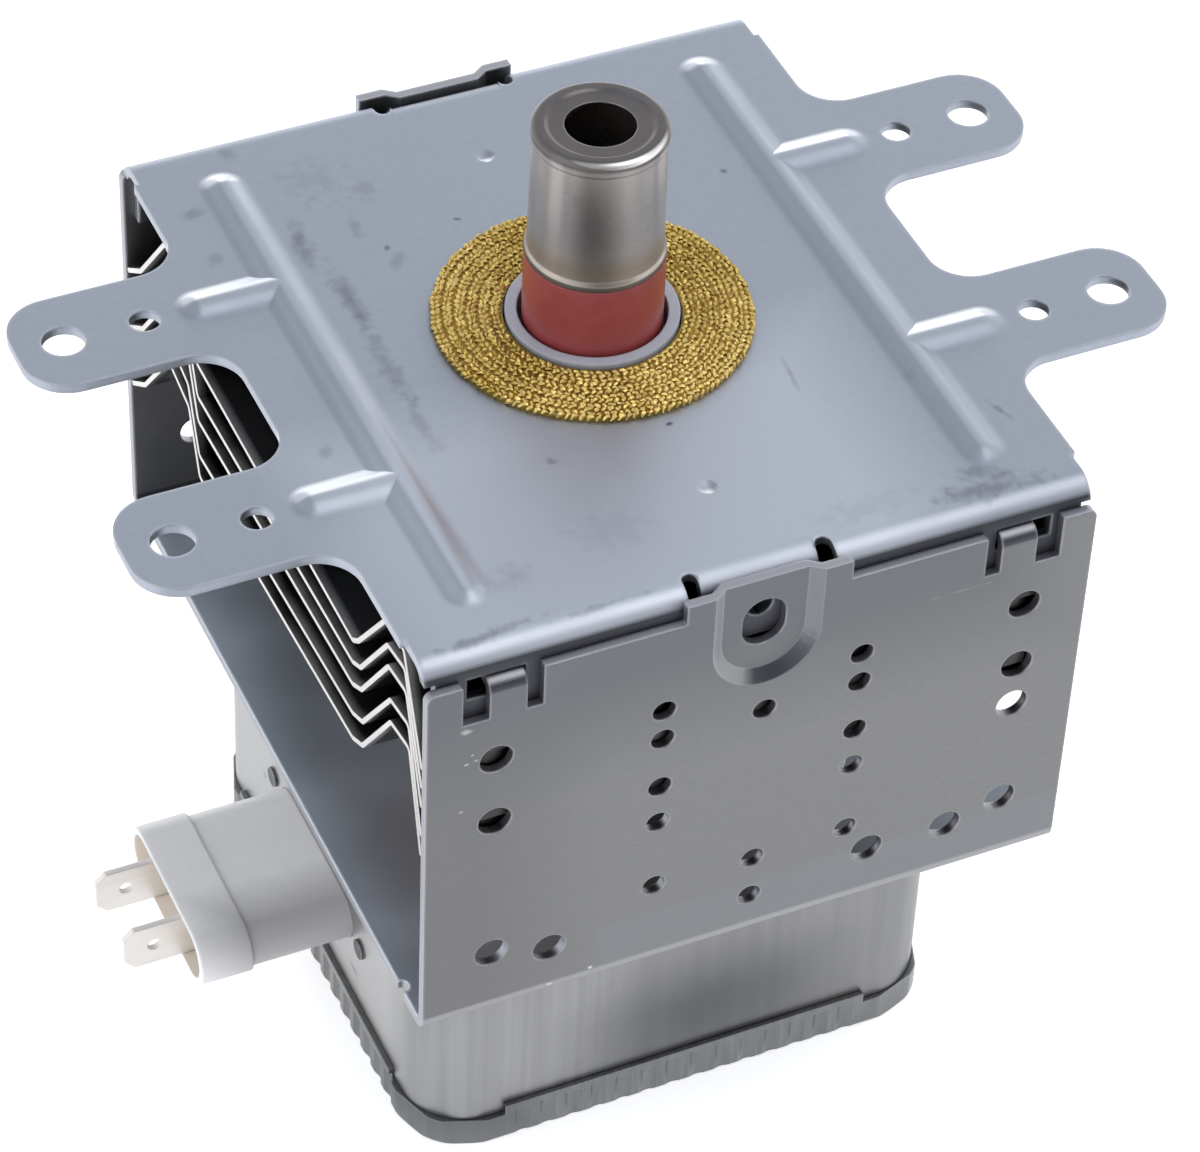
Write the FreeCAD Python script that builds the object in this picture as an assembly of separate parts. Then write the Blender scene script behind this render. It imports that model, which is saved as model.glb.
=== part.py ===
"""Magnetron of a microwave oven, built piece by piece as the real one goes together.

The origin is on the antenna axis in the top face of the mounting plate.  +Z runs up along the
antenna, +X along the front wall, away from the connector, and -Y towards the front wall of the
yoke.  All lengths are in millimetres.
"""
import FreeCAD, Part
import math
import os
from FreeCAD import Vector

# Sheet steel of the plate and the yoke
SHEET = 1.2
FIT = 0.05

# Yoke: front wall, bottom and back wall bent from one strip
YOKE_HALF_X = 39.7
YOKE_HALF_Y = 47.5
YOKE_BOTTOM_Z = -55.5
YOKE_BEND = 1.6
WALL_TOP_Z = -2.8
WALL_CORNER = 1.0
EDGE_NOTCH_R = 0.9
EDGE_NOTCH_IN = 6.5

# Wall cut-outs beside the locking tongues, and the tongues themselves
NOTCH_OUTER_X = 35.6
TONGUE_OUTER_X = 32.5
TONGUE_INNER_X = 28.2
NOTCH_INNER_X = 26.3
NOTCH_BOTTOM_Z = -8.4
TONGUE_TOP_Z = -3.3
TONGUE_REACH = 3.6
TONGUE_BEND = 1.0

# Fixing ear at the top of each wall, with a pressed-in pad and an obround hole
EAR_HALF_X = 9.8
EAR_TOP_Z = -0.2
PAD_HALF_X = 5.0
PAD_DEPTH = 1.1
PAD_SLOPE = 1.5
PAD_BOTTOM_Z = -13.3
EAR_HOLE_R = 2.6
EAR_HOLE_TOP_Z = -3.3
EAR_HOLE_BOTTOM_Z = -9.9

# Punched wall holes as (x, z), the same in both walls
WALL_HOLE_R = 1.95
WALL_HOLES = (
    (-31.6, -14.7), (-31.6, -24.2), (-31.6, -45.3), (-24.5, -47.4), (15.0, -46.9),
    (25.0, -46.9), (31.9, -45.1), (31.9, -14.4), (31.9, -23.7), (31.9, -29.9),
)
VENT_R = 1.4
VENT_X = 11.9
VENT_ROWS = (-14.8, -19.1, -26.5, -32.1, -42.3)
MID_VENT_X = 0.3
MID_VENT_ROWS = (-19.0, -42.7, -48.8)

# Mounting plate: arms, pressed ribs, bent-down flanges
PLATE_OVERHANG = 0.4
BEND_ZONE_SET_BACK = 0.2
BEND_ZONE_IN = 6.7
PLATE_BEND = 2.4
FLANGE_SET_BACK = 1.4
FLANGE_CORNER_Z = -2.4
FLANGE_DEPTH = 9.4
ARM_TIP_X = 62.5
ARM_Y = 17.6
ARM_WIDTH = 15.2
ARM_CORNER = 5.5
ARM_FILLET = 5.0
BOLT_HOLE_X = 56.8
BOLT_HOLE_R = 2.5
PEG_HOLE_X = 47.2
PEG_HOLE_R = 1.8
RIB_X = 30.7
RIB_END_IN = 8.0
RIB_HALF_WIDTH = 3.0
RIB_HEIGHT = 0.9
CROSS_RIB_END_X = 43.6
DENT_Y = 31.0
DENT_R = 1.1
DENT_DEPTH = 0.25
RELIEF_X = 7.9
RELIEF_R = 0.95
RELIEF_END_IN = 4.8
TONGUE_SLOT_TOP_Z = -2.9
TONGUE_SLOT_HEIGHT = 3.0
TONGUE_SLOT_INNER_GAP = 0.3
TONGUE_SLOT_OUTER_GAP = 2.2
SCREW_HOLE_R = 1.5
SCREW_HOLE_Z = -5.2
SCREW_COLLAR_R = 2.3
SCREW_COLLAR_LENGTH = 1.0

# Cooling fins, lowest first: distance in from the outside of the front wall, and z, of each crease
FIN_SHEET = 0.6
FIN_BEND = 0.9
FIN_SET_BACK = 0.1
FIN_TAIL_Z = (-28.0, -25.0, -20.5, -17.6, -14.7)
FIN_SHELF = ((5.1, -14.8), (5.3, -11.5), (6.1, -7.2), (6.5, -4.2), (6.9, -1.6))
FIN_PEAK = ((10.3, -15.7), (10.4, -12.4), (11.0, -7.9), (11.3, -5.0), (11.9, -1.9))
FIN_FOOT = ((18.4, -26.9), (18.4, -23.2), (18.7, -18.5), (19.0, -15.4), (19.6, -11.9))
FIN_FLAT_IN = 21.3
FIN_FRONT_Z = (-28.4, -24.5, -20.0, -16.6, -13.3)
FIN_BACK_Z = (-30.3, -26.8, -21.4, -17.6, -12.5)

# Back half of a fin: distance in from the outside of the back wall, and rise over the foot
FIN_BACK_IN = 25.2
FIN_KNEE = (22.0, 8.5)
FIN_BACK_PEAK = (15.4, 10.2)
FIN_DIP = (6.3, -0.9)
FIN_END_RISE = -4.4

# Round collar of a fin on the anode, and the top fin's notch at the screw tongue
FIN_COLLAR_UP = 0.9
FIN_COLLAR_DOWN = 2.0
FIN_NOTCH_HALF_X = 7.8
FIN_NOTCH_IN = 5.7

# Ring magnets
MAGNET_R = 21.5
MAGNET_BORE_R = 10.4
MAGNET_HEIGHT = 10.6

# Anode block with its vanes and strap rings
ANODE_R = 20.0
ANODE_WALL = 3.2
VANE_COUNT = 10
VANE_THICKNESS = 1.7
VANE_TIP_R = 4.6
VANE_HEIGHT = 9.6
STRAP_RADII = (6.0, 7.6)
STRAP_WALL = 0.7
STRAP_HEIGHT = 1.2
STRAP_MARGIN = 0.25

# Pole pieces, dished towards the vanes
POLE_R = 18.4
POLE_SHEET = 1.4
POLE_FLAT_R = 13.5
POLE_MOUTH_R = 4.8
POLE_DEPTH = 6.8
POLE_LEAD_HOLE_R = 1.7

# Seal sleeves through the magnets
SLEEVE_SHEET = 0.5
SLEEVE_R = 9.94
SLEEVE_FLANGE_R = 19.6
SLEEVE_TOP_Z = 1.1
SLEEVE_LIP_R = 8.6
SLEEVE_LEDGE_R = 6.0
SLEEVE_LEDGE_Z = -3.0

# Output ceramic and antenna cap
CERAMIC_R = 8.05
CERAMIC_BORE_R = 6.4
CERAMIC_TOP_Z = 9.9
CAP_RIM_R = 8.0
CAP_FOOT_R = 7.75
CAP_TOP_R = 7.55
CAP_TOP_Z = 27.5
CAP_RIM_HEIGHT = 0.7
CAP_FLARE = 0.5
CAP_WALL = 0.5
CAP_HOLE_R = 4.0
CAP_ROUND = 0.8
CAP_BEAD = 0.2
CAP_BEAD_HEIGHT = 1.7
CAP_DISH_R = 6.2
CAP_DISH_WALL = 0.4
CAP_DISH_DEPTH = 0.25

# Pinched-off exhaust tube and the antenna lead inside it
EXHAUST_R = 3.0
EXHAUST_BORE_R = 2.2
EXHAUST_TUBE_TOP_Z = 18.5
EXHAUST_PINCH_TOP_Z = 22.5
EXHAUST_PINCH_HALF_X = 3.4
EXHAUST_PINCH_HALF_Y = 0.5
EXHAUST_FLANGE_R = 7.1
LEAD_R = 0.8
LEAD_VANE_R = 9.2
LEAD_TURN_Z = -14.8
LEAD_AXIS_Z = -3.0
LEAD_BEND = 2.5

# Braided gasket round the output
GASKET_R = 18.5
GASKET_HEIGHT = 0.95
GASKET_ROUND = 0.4
SLEEVE_CLEARANCE = 0.15

# Cathode
FILAMENT_R = 2.0
FILAMENT_WIRE_R = 0.3
FILAMENT_TURNS = 7
WIRE_SIDES = 8
HAT_R = 3.7
HAT_THICKNESS = 1.0
HAT_GAP = 0.4
HAT_LEAD_CLEARANCE = 0.3
CATHODE_LEAD_R = 0.6
SIDE_LEAD_Y = -2.7

# Stem ceramic and its two terminals
STEM_TOP_Z = -60.0
STEM_HEIGHT = 12.0
STEM_R = 9.94
TERMINAL_SHEET = 0.8
TERMINAL_HALF_X = 3.0
TERMINAL_LENGTH = 7.0
TERMINAL_FOOT_SPLIT_Y = -1.4
TERMINAL_FOOT_GAP = 0.6

# Filter box and its lid
BOX_HALF_X = 33.8
BOX_HALF_Y = 35.0
BOX_CORNER = 8.0
BOX_SHEET = 0.7
BOX_EDGE = 1.6
LID_BOTTOM_Z = -93.6
LID_SHEET = 0.7
LID_RIM_TOP_Z = -88.0
LID_CORNER_DROP = 1.5
LID_EDGE = 0.6
LID_GROOVE_PITCH = 3.3
LID_GROOVE_R = 1.7
LID_GROOVE_DEPTH = 0.45
LID_GROOVE_TOP_Z = -88.9
LID_CORNER_REACH = 10.0
LID_FACET_TURN = 20.0
LID_FACET_WALL = 0.25
BOX_RIVET_X = 20.0
BOX_RIVET_Y = 27.0
RIVET_R = 1.5
RIVET_HEAD_R = 2.6
RIVET_HEAD = 0.8

# Connector housing
PLUG_Y = 0.2
PLUG_Z = -76.8
PLUG_END_X = -53.2
PLUG_COLLAR_LENGTH = 6.6
PLUG_HALF_Y = 12.45
PLUG_HALF_Z = 3.75
PLUG_STEP = 0.5
PLUG_RIM = 0.5
PLUG_END_RIM = 1.2
PLUG_EDGE = 0.25
PLUG_RECESS = 6.0
PLUG_BLOCK_LENGTH = 6.3
PLUG_BLOCK_GROWTH = 0.4

# Flat terminal tabs of the connector
TAB_PITCH = 9.9
TAB_WIDTH = 6.2
TAB_SHEET = 0.8
TAB_TIP_X = -60.5
TAB_CHAMFER = 1.3
TAB_HOLE_R = 0.85
TAB_HOLE_X = -56.7
TAB_STEM_WIDTH = 3.0
TAB_STEM_OUT = 4.0

# Flange plate that holds the connector in the box wall, and its rivets
COLLAR_PLATE_SHEET = 0.8
COLLAR_PLATE_HALF_Y = 18.0
COLLAR_PLATE_HALF_Z = 8.0
COLLAR_PLATE_CORNER = 2.0
SIDE_RIVET_GAP = 0.15
SIDE_RIVET_DROP = 1.2
SIDE_RIVET_R = 0.8
SIDE_RIVET_HEAD_R = 1.3
SIDE_RIVET_HEAD = 0.4

# Choke coils with their ferrite rods
COIL_R = 3.4
COIL_WIRE_R = 0.7
COIL_TURNS = 7
COIL_PITCH = 2.4
COIL_GAP = 5.1
COIL_LEG_START = 4.0
COIL_LEG_END = 6.0
ROD_CLEARANCE = 0.15
ROD_OVERHANG = 2.0

# Levels and places that neighbouring pieces share
PLATE_UNDER_Z = -SHEET
PLATE_HALF_X = YOKE_HALF_X + PLATE_OVERHANG
BEND_ZONE_HALF_X = YOKE_HALF_X - BEND_ZONE_SET_BACK
BEND_ZONE_Y = YOKE_HALF_Y - BEND_ZONE_IN
FLANGE_HALF_X = YOKE_HALF_X - FLANGE_SET_BACK
RIB_HALF_LENGTH = YOKE_HALF_Y - RIB_END_IN
RELIEF_END_Y = YOKE_HALF_Y - RELIEF_END_IN
EDGE_NOTCH_Y = YOKE_HALF_Y - EDGE_NOTCH_IN
FIN_HALF_X = YOKE_HALF_X - FIN_SET_BACK
YOKE_FLOOR_Z = YOKE_BOTTOM_Z + SHEET
WALL_INNER_Y = YOKE_HALF_Y - SHEET
UPPER_MAGNET_Z = PLATE_UNDER_Z - MAGNET_HEIGHT
LOWER_MAGNET_Z = YOKE_FLOOR_Z + MAGNET_HEIGHT
ANODE_TOP_Z = UPPER_MAGNET_Z - SLEEVE_SHEET
ANODE_BOTTOM_Z = LOWER_MAGNET_Z + SLEEVE_SHEET
ANODE_MID_Z = (ANODE_TOP_Z + ANODE_BOTTOM_Z) / 2
ANODE_BORE_R = ANODE_R - ANODE_WALL
VANE_TOP_Z = ANODE_MID_Z + VANE_HEIGHT / 2
VANE_BOTTOM_Z = ANODE_MID_Z - VANE_HEIGHT / 2
UPPER_HAT_Z = VANE_TOP_Z + HAT_GAP
LOWER_HAT_Z = VANE_BOTTOM_Z - HAT_GAP - HAT_THICKNESS
FLANGE_MID_Y = WALL_INNER_Y - FIT - SHEET / 2
FIN_END_Y = WALL_INNER_Y - FIT - FIN_SHEET / 2
NECK_HOLE_R = SLEEVE_R + SLEEVE_CLEARANCE
STEM_BOTTOM_Z = STEM_TOP_Z - STEM_HEIGHT
LEAD_END_Z = STEM_BOTTOM_Z - TERMINAL_SHEET
BOX_FLOOR_Z = LID_BOTTOM_Z + LID_SHEET
BOX_CEILING_Z = YOKE_BOTTOM_Z - BOX_SHEET
BOX_FACE_X = -BOX_HALF_X
BOX_INSIDE_X = BOX_FACE_X + BOX_SHEET
PLUG_BLOCK_X = BOX_INSIDE_X + COLLAR_PLATE_SHEET
PLUG_BACK_X = PLUG_BLOCK_X + PLUG_BLOCK_LENGTH
COIL_START_X = PLUG_BACK_X + COIL_GAP
RECESS_FLOOR_X = PLUG_END_X + PLUG_RECESS
SIDE_RIVET_Y = PLUG_HALF_Y + PLUG_BLOCK_GROWTH + SIDE_RIVET_HEAD_R + SIDE_RIVET_GAP
TAB_YS = (PLUG_Y - TAB_PITCH / 2, PLUG_Y + TAB_PITCH / 2)
COIL_OFFSET = TAB_SHEET / 2 + FIT + COIL_WIRE_R + COIL_R
BEYOND = 100.0


def box(x0, x1, y0, y1, z0, z1):
    """Return a box between two corners."""
    return Part.makeBox(x1 - x0, y1 - y0, z1 - z0, Vector(x0, y0, z0))


def disc(radius, z0, z1, x=0.0, y=0.0):
    """Return an upright cylinder."""
    return Part.makeCylinder(radius, z1 - z0, Vector(x, y, z0))


def ring(outer, inner, z0, z1):
    """Return an upright tube on the antenna axis."""
    return disc(outer, z0, z1).cut(disc(inner, z0 - 1, z1 + 1))


def pin_y(radius, y0, y1, x, z):
    """Return a cylinder along Y."""
    return Part.makeCylinder(radius, y1 - y0, Vector(x, y0, z), Vector(0, 1, 0))


def pin_x(radius, x0, x1, y, z):
    """Return a cylinder along X."""
    return Part.makeCylinder(radius, x1 - x0, Vector(x0, y, z), Vector(1, 0, 0))


def joined(shapes):
    """Return the shapes fused into one."""
    return shapes[0].multiFuse(shapes[1:])


def turned(points):
    """Return the solid that a closed (r, z) outline sweeps about the antenna axis."""
    corners = [Vector(r, 0, z) for r, z in points]
    face = Part.Face(Part.makePolygon(corners + corners[:1]))
    return face.revolve(Vector(0, 0, 0), Vector(0, 0, 1), 360)


def both_walls(shape):
    """Return the shape and its mirror image at the opposite wall."""
    return [shape, shape.mirror(Vector(0, 0, 0), Vector(0, 1, 0))]


def both_sides(shape):
    """Return the shape and its mirror image at the opposite end in X."""
    return [shape, shape.mirror(Vector(0, 0, 0), Vector(1, 0, 0))]


def four_ways(shape):
    """Return the shape and its mirror images in all four quarters."""
    return [one for half in both_walls(shape) for one in both_sides(half)]


def upright_edges(shape, spots, tolerance=0.01):
    """Return the vertical edges that stand on the given (x, y) spots."""
    found = []
    for edge in shape.Edges:
        a, b = edge.Vertexes[0].Point, edge.Vertexes[-1].Point
        if abs(a.x - b.x) > tolerance or abs(a.y - b.y) > tolerance:
            continue
        if any(abs(a.x - x) < tolerance and abs(a.y - y) < tolerance for x, y in spots):
            found.append(edge)
    return found


def level_edges(shape, z, tolerance=0.01):
    """Return the edges that lie wholly at one height."""
    return [edge for edge in shape.Edges
            if abs(edge.BoundBox.ZMin - z) < tolerance and abs(edge.BoundBox.ZMax - z) < tolerance]


def rounded_slab(half_x, half_y, radius, z0, z1, y=0.0):
    """Return a slab with rounded upright corners."""
    slab = box(-half_x, half_x, y - half_y, y + half_y, z0, z1)
    spots = [(sx * half_x, y + sy * half_y) for sx in (-1, 1) for sy in (-1, 1)]
    return slab.makeFillet(radius, upright_edges(slab, spots))


def racetrack(half_y, half_z, x0, x1):
    """Return a bar along X with round ends in Y, on the connector's axis."""
    straight = half_y - half_z
    middle = box(x0, x1, PLUG_Y - straight, PLUG_Y + straight, PLUG_Z - half_z, PLUG_Z + half_z)
    ends = [pin_x(half_z, x0, x1, PLUG_Y + side * straight, PLUG_Z) for side in (-1, 1)]
    return joined([middle] + ends).removeSplitter()


def rounded_route(points, radius):
    """Return edges along a line through the points, with every corner rounded."""
    edges = []
    start = points[0]
    for before, corner, after in zip(points, points[1:], points[2:]):
        d0 = (corner - before).normalize()
        d1 = (after - corner).normalize()
        turn = d0.getAngle(d1)
        reach = radius * math.tan(turn / 2)
        first = corner - d0 * reach
        last = corner + d1 * reach
        inward = (d1 - d0).normalize()
        middle = corner + inward * (radius / math.cos(turn / 2) - radius)
        edges.append(Part.LineSegment(start, first).toShape())
        edges.append(Part.Arc(first, middle, last).toShape())
        start = last
    edges.append(Part.LineSegment(start, points[-1]).toShape())
    return edges


def strip_side(points, offset, radius):
    """Return one side of a bent strip: edges beside a YZ centre line with rounded bends."""
    edges = []
    heading = (points[1] - points[0]).normalize()
    start = points[0] + Vector(0, -heading.z, heading.y) * offset
    for before, corner, after in zip(points, points[1:], points[2:]):
        d0 = (corner - before).normalize()
        d1 = (after - corner).normalize()
        turn = math.atan2(d0.y * d1.z - d0.z * d1.y, d0.dot(d1))
        reach = radius * math.tan(abs(turn) / 2)
        n0 = Vector(0, -d0.z, d0.y)
        n1 = Vector(0, -d1.z, d1.y)
        hand = math.copysign(1.0, turn)
        centre = corner - d0 * reach + n0 * (hand * radius)
        first = corner - d0 * reach + n0 * offset
        last = corner + d1 * reach + n1 * offset
        middle = centre - (n0 + n1).normalize() * (hand * radius - offset)
        edges.append(Part.LineSegment(start, first).toShape())
        edges.append(Part.Arc(first, middle, last).toShape())
        start = last
    heading = (points[-1] - points[-2]).normalize()
    end = points[-1] + Vector(0, -heading.z, heading.y) * offset
    edges.append(Part.LineSegment(start, end).toShape())
    return edges


def bent_strip(path, thickness, radius, half_x):
    """Return sheet metal that follows a (y, z) path and reaches half_x to each side."""
    points = [Vector(-half_x, y, z) for y, z in path]
    left = strip_side(points, thickness / 2, radius)
    right = strip_side(points, -thickness / 2, radius)
    starts = [side[0].Vertexes[0].Point for side in (left, right)]
    ends = [side[-1].Vertexes[-1].Point for side in (left, right)]
    caps = [Part.LineSegment(*starts).toShape(), Part.LineSegment(*ends).toShape()]
    wire = Part.Wire(Part.__sortEdges__(left + right + caps))
    return Part.Face(wire).extrude(Vector(2 * half_x, 0, 0))


def bead(length, base):
    """Return a pressed bead along +Y with round ends, its foot tangent to z = 0."""
    radius = (RIB_HALF_WIDTH ** 2 + RIB_HEIGHT ** 2) / (4 * RIB_HEIGHT)
    half = math.asin(RIB_HALF_WIDTH / (2 * radius)) / 2
    rise = radius * (1 - math.cos(half))
    run = radius * math.sin(half)
    foot = Vector(RIB_HALF_WIDTH, 0, 0)
    below = Vector(RIB_HALF_WIDTH, 0, base)
    waist = Vector(RIB_HALF_WIDTH / 2, 0, RIB_HEIGHT / 2)
    top = Vector(0, 0, RIB_HEIGHT)
    side = [
        Part.Arc(top, Vector(run, 0, RIB_HEIGHT - rise), waist).toShape(),
        Part.Arc(waist, Vector(RIB_HALF_WIDTH - run, 0, rise), foot).toShape(),
        Part.LineSegment(foot, below).toShape(),
        Part.LineSegment(below, Vector(0, 0, base)).toShape(),
    ]
    axis = Part.LineSegment(Vector(0, 0, base), top).toShape()
    quarter = Part.Face(Part.Wire(Part.__sortEdges__(side + [axis])))
    other_side = [edge.mirror(Vector(0, 0, 0), Vector(1, 0, 0)) for edge in side]
    section = Part.Face(Part.Wire(Part.__sortEdges__(side + other_side)))
    far_end = quarter.revolve(Vector(0, 0, 0), Vector(0, 0, 1), 180)
    near_end = far_end.copy()
    near_end.rotate(Vector(0, 0, 0), Vector(0, 0, 1), 180)
    far_end.translate(Vector(0, length, 0))
    return joined([section.extrude(Vector(0, length, 0)), near_end, far_end])


def plate_beads(level):
    """Return the long and cross beads of the plate, pressed up from the given level."""
    straight = RIB_HALF_LENGTH - RIB_HALF_WIDTH
    long_bead = bead(2 * straight, -SHEET / 2)
    long_bead.translate(Vector(RIB_X, -straight, level))
    cross_bead = bead(CROSS_RIB_END_X - RIB_HALF_WIDTH - RIB_X, -SHEET / 2)
    cross_bead.rotate(Vector(0, 0, 0), Vector(0, 0, 1), -90)
    cross_bead.translate(Vector(RIB_X, ARM_Y, level))
    return both_sides(long_bead) + four_ways(cross_bead)


def plate_blank():
    """Return the plate with bent flanges and four arms, before anything is punched."""
    path = [(-FLANGE_MID_Y, -FLANGE_DEPTH), (-FLANGE_MID_Y, -SHEET / 2),
            (FLANGE_MID_Y, -SHEET / 2), (FLANGE_MID_Y, -FLANGE_DEPTH)]
    plate = bent_strip(path, SHEET, PLATE_BEND, PLATE_HALF_X)
    half_arm = ARM_WIDTH / 2
    arms = [rounded_slab(ARM_TIP_X, half_arm, ARM_CORNER, -SHEET, 0, y) for y in (-ARM_Y, ARM_Y)]
    plate = joined([plate] + arms).removeSplitter()
    sides = (-1, 1)
    spots = [(sx * PLATE_HALF_X, sy * ARM_Y + sa * half_arm) for sx in sides for sy in sides for sa in sides]
    return plate.makeFillet(ARM_FILLET, upright_edges(plate, spots))


def screw_tongue():
    """Return the set-back tongue of the front flange with its drawn screw hole."""
    middle = FLANGE_MID_Y - PAD_DEPTH
    path = [(-middle, -FLANGE_DEPTH), (-middle, -SHEET / 2), (-BEND_ZONE_Y, -SHEET / 2)]
    tongue = bent_strip(path, SHEET, PLATE_BEND, RELIEF_X - RELIEF_R)
    end = -middle + SHEET / 2 + SCREW_COLLAR_LENGTH
    collar = pin_y(SCREW_COLLAR_R, -middle, end, 0, SCREW_HOLE_Z)
    hole = pin_y(SCREW_HOLE_R, -YOKE_HALF_Y, end + 1, 0, SCREW_HOLE_Z)
    return tongue.fuse(collar).cut(hole)


def flange_cutters():
    """Return what is punched out of both bent ends of the plate."""
    low = -FLANGE_DEPTH - 1
    relief_y = RELIEF_END_Y + RELIEF_R
    inner_x = RELIEF_X - RELIEF_R
    tongue_start_y = FLANGE_MID_Y - PAD_DEPTH - PLATE_BEND
    slot_bottom_z = TONGUE_SLOT_TOP_Z - TONGUE_SLOT_HEIGHT
    quarters = [
        box(BEND_ZONE_HALF_X, PLATE_HALF_X + 1, BEND_ZONE_Y, YOKE_HALF_Y, low, 1),
        box(FLANGE_HALF_X, PLATE_HALF_X + 1, BEND_ZONE_Y, YOKE_HALF_Y, low, FLANGE_CORNER_Z),
        disc(RELIEF_R, low, 1, RELIEF_X, relief_y),
        box(inner_x, RELIEF_X + RELIEF_R, relief_y, YOKE_HALF_Y, low, 1),
        box(0, inner_x, tongue_start_y, YOKE_HALF_Y, low, 1),
        box(TONGUE_INNER_X - TONGUE_SLOT_INNER_GAP, TONGUE_OUTER_X + TONGUE_SLOT_OUTER_GAP,
            FLANGE_MID_Y - SHEET, YOKE_HALF_Y, slot_bottom_z, TONGUE_SLOT_TOP_Z),
    ]
    return [one for quarter in quarters for one in four_ways(quarter)]


def plate_holes():
    """Return the holes through the flat of the plate and the two dents in it."""
    low = -SHEET - 1
    high = RIB_HEIGHT + 1
    holes = [disc(NECK_HOLE_R, low, high)]
    holes += four_ways(disc(BOLT_HOLE_R, low, high, BOLT_HOLE_X, ARM_Y))
    holes += four_ways(disc(PEG_HOLE_R, low, high, PEG_HOLE_X, ARM_Y))
    ball_r = (DENT_R ** 2 + DENT_DEPTH ** 2) / (2 * DENT_DEPTH)
    holes += both_walls(Part.makeSphere(ball_r, Vector(0, DENT_Y, ball_r - DENT_DEPTH)))
    return holes


def mounting_plate():
    """Return the steel plate with arms, ribs, bent flanges, slots and holes."""
    plate = plate_blank().cut(joined(flange_cutters()))
    plate = joined([plate] + both_walls(screw_tongue()) + plate_beads(0.0))
    return plate.cut(joined(plate_beads(-SHEET) + plate_holes())).removeSplitter()


def pad_form(level, top_z):
    """Return the U-shaped pressing of a pad, its wide face on the plane y = level."""
    centre_z = PAD_BOTTOM_Z + PAD_HALF_X
    wires = []
    for depth, half in ((0.0, PAD_HALF_X + PAD_SLOPE), (PAD_DEPTH, PAD_HALF_X)):
        y = level + depth
        corners = [Vector(half, y, centre_z), Vector(half, y, top_z),
                   Vector(-half, y, top_z), Vector(-half, y, centre_z)]
        edges = [Part.LineSegment(a, b).toShape() for a, b in zip(corners, corners[1:])]
        edges.append(Part.Arc(corners[-1], Vector(0, y, centre_z - half), corners[0]).toShape())
        wires.append(Part.Wire(edges))
    return Part.makeLoft(wires, True, True)


def wall_cutters():
    """Return what is cut from the top edge of the front wall."""
    front = -YOKE_HALF_Y - 1
    inside = -WALL_INNER_Y + 1
    tongue_z = TONGUE_TOP_Z - SHEET / 2 - TONGUE_BEND
    quarters = [
        box(EAR_HALF_X, YOKE_HALF_X + 1, front, inside, WALL_TOP_Z, 1),
        box(NOTCH_INNER_X, TONGUE_INNER_X, front, inside, NOTCH_BOTTOM_Z, 1),
        box(TONGUE_OUTER_X, NOTCH_OUTER_X, front, inside, NOTCH_BOTTOM_Z, 1),
        box(TONGUE_INNER_X, TONGUE_OUTER_X, front, inside, tongue_z, 1),
    ]
    corner = box(YOKE_HALF_X - WALL_CORNER, YOKE_HALF_X + 1, front, inside, WALL_TOP_Z - WALL_CORNER, 1)
    round_part = pin_y(WALL_CORNER, front, inside, YOKE_HALF_X - WALL_CORNER, WALL_TOP_Z - WALL_CORNER)
    quarters.append(corner.cut(round_part))
    return [one for quarter in quarters for one in both_sides(quarter)]


def locking_tongue():
    """Return one bent tongue of the front wall, which hooks into the plate's flange."""
    middle = YOKE_HALF_Y - SHEET / 2
    level = TONGUE_TOP_Z - SHEET / 2
    path = [(-middle, level - SHEET / 2 - TONGUE_BEND - 1), (-middle, level),
            (-middle + TONGUE_REACH, level)]
    half = (TONGUE_OUTER_X - TONGUE_INNER_X) / 2
    tongue = bent_strip(path, SHEET, TONGUE_BEND, half)
    tongue.translate(Vector(TONGUE_INNER_X + half, 0, 0))
    return tongue


def yoke_holes():
    """Return the punched holes of both walls, the ears and the bottom."""
    ends = (-YOKE_HALF_Y - 1, YOKE_HALF_Y + 1)
    holes = [pin_y(WALL_HOLE_R, *ends, x, z) for x, z in WALL_HOLES]
    holes += [pin_y(VENT_R, *ends, x, z) for z in VENT_ROWS for x in (-VENT_X, VENT_X)]
    holes += [pin_y(VENT_R, *ends, MID_VENT_X, z) for z in MID_VENT_ROWS]
    high = EAR_HOLE_TOP_Z - EAR_HOLE_R
    low = EAR_HOLE_BOTTOM_Z + EAR_HOLE_R
    holes += [pin_y(EAR_HOLE_R, *ends, 0, z) for z in (high, low)]
    holes.append(box(-EAR_HOLE_R, EAR_HOLE_R, *ends, low, high))
    floor = (YOKE_BOTTOM_Z - 1, YOKE_FLOOR_Z + 1)
    holes.append(disc(NECK_HOLE_R, *floor))
    holes += four_ways(disc(RIVET_R + FIT, *floor, BOX_RIVET_X, BOX_RIVET_Y))
    holes += four_ways(disc(EDGE_NOTCH_R, *floor, YOKE_HALF_X, EDGE_NOTCH_Y))
    return holes


def yoke_frame():
    """Return the U-shaped yoke with ears, pads, tongues and punched holes."""
    middle = YOKE_HALF_Y - SHEET / 2
    floor = YOKE_BOTTOM_Z + SHEET / 2
    path = [(-middle, EAR_TOP_Z), (-middle, floor), (middle, floor), (middle, EAR_TOP_Z)]
    frame = bent_strip(path, SHEET, YOKE_BEND, YOKE_HALF_X)
    cutters = [one for cutter in wall_cutters() for one in both_walls(cutter)]
    frame = frame.cut(joined(cutters))
    frame = joined([frame] + four_ways(locking_tongue()) + both_walls(pad_form(-WALL_INNER_Y, EAR_TOP_Z)))
    recesses = both_walls(pad_form(-YOKE_HALF_Y, EAR_TOP_Z + 1))
    return frame.cut(joined(recesses + yoke_holes())).removeSplitter()


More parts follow.
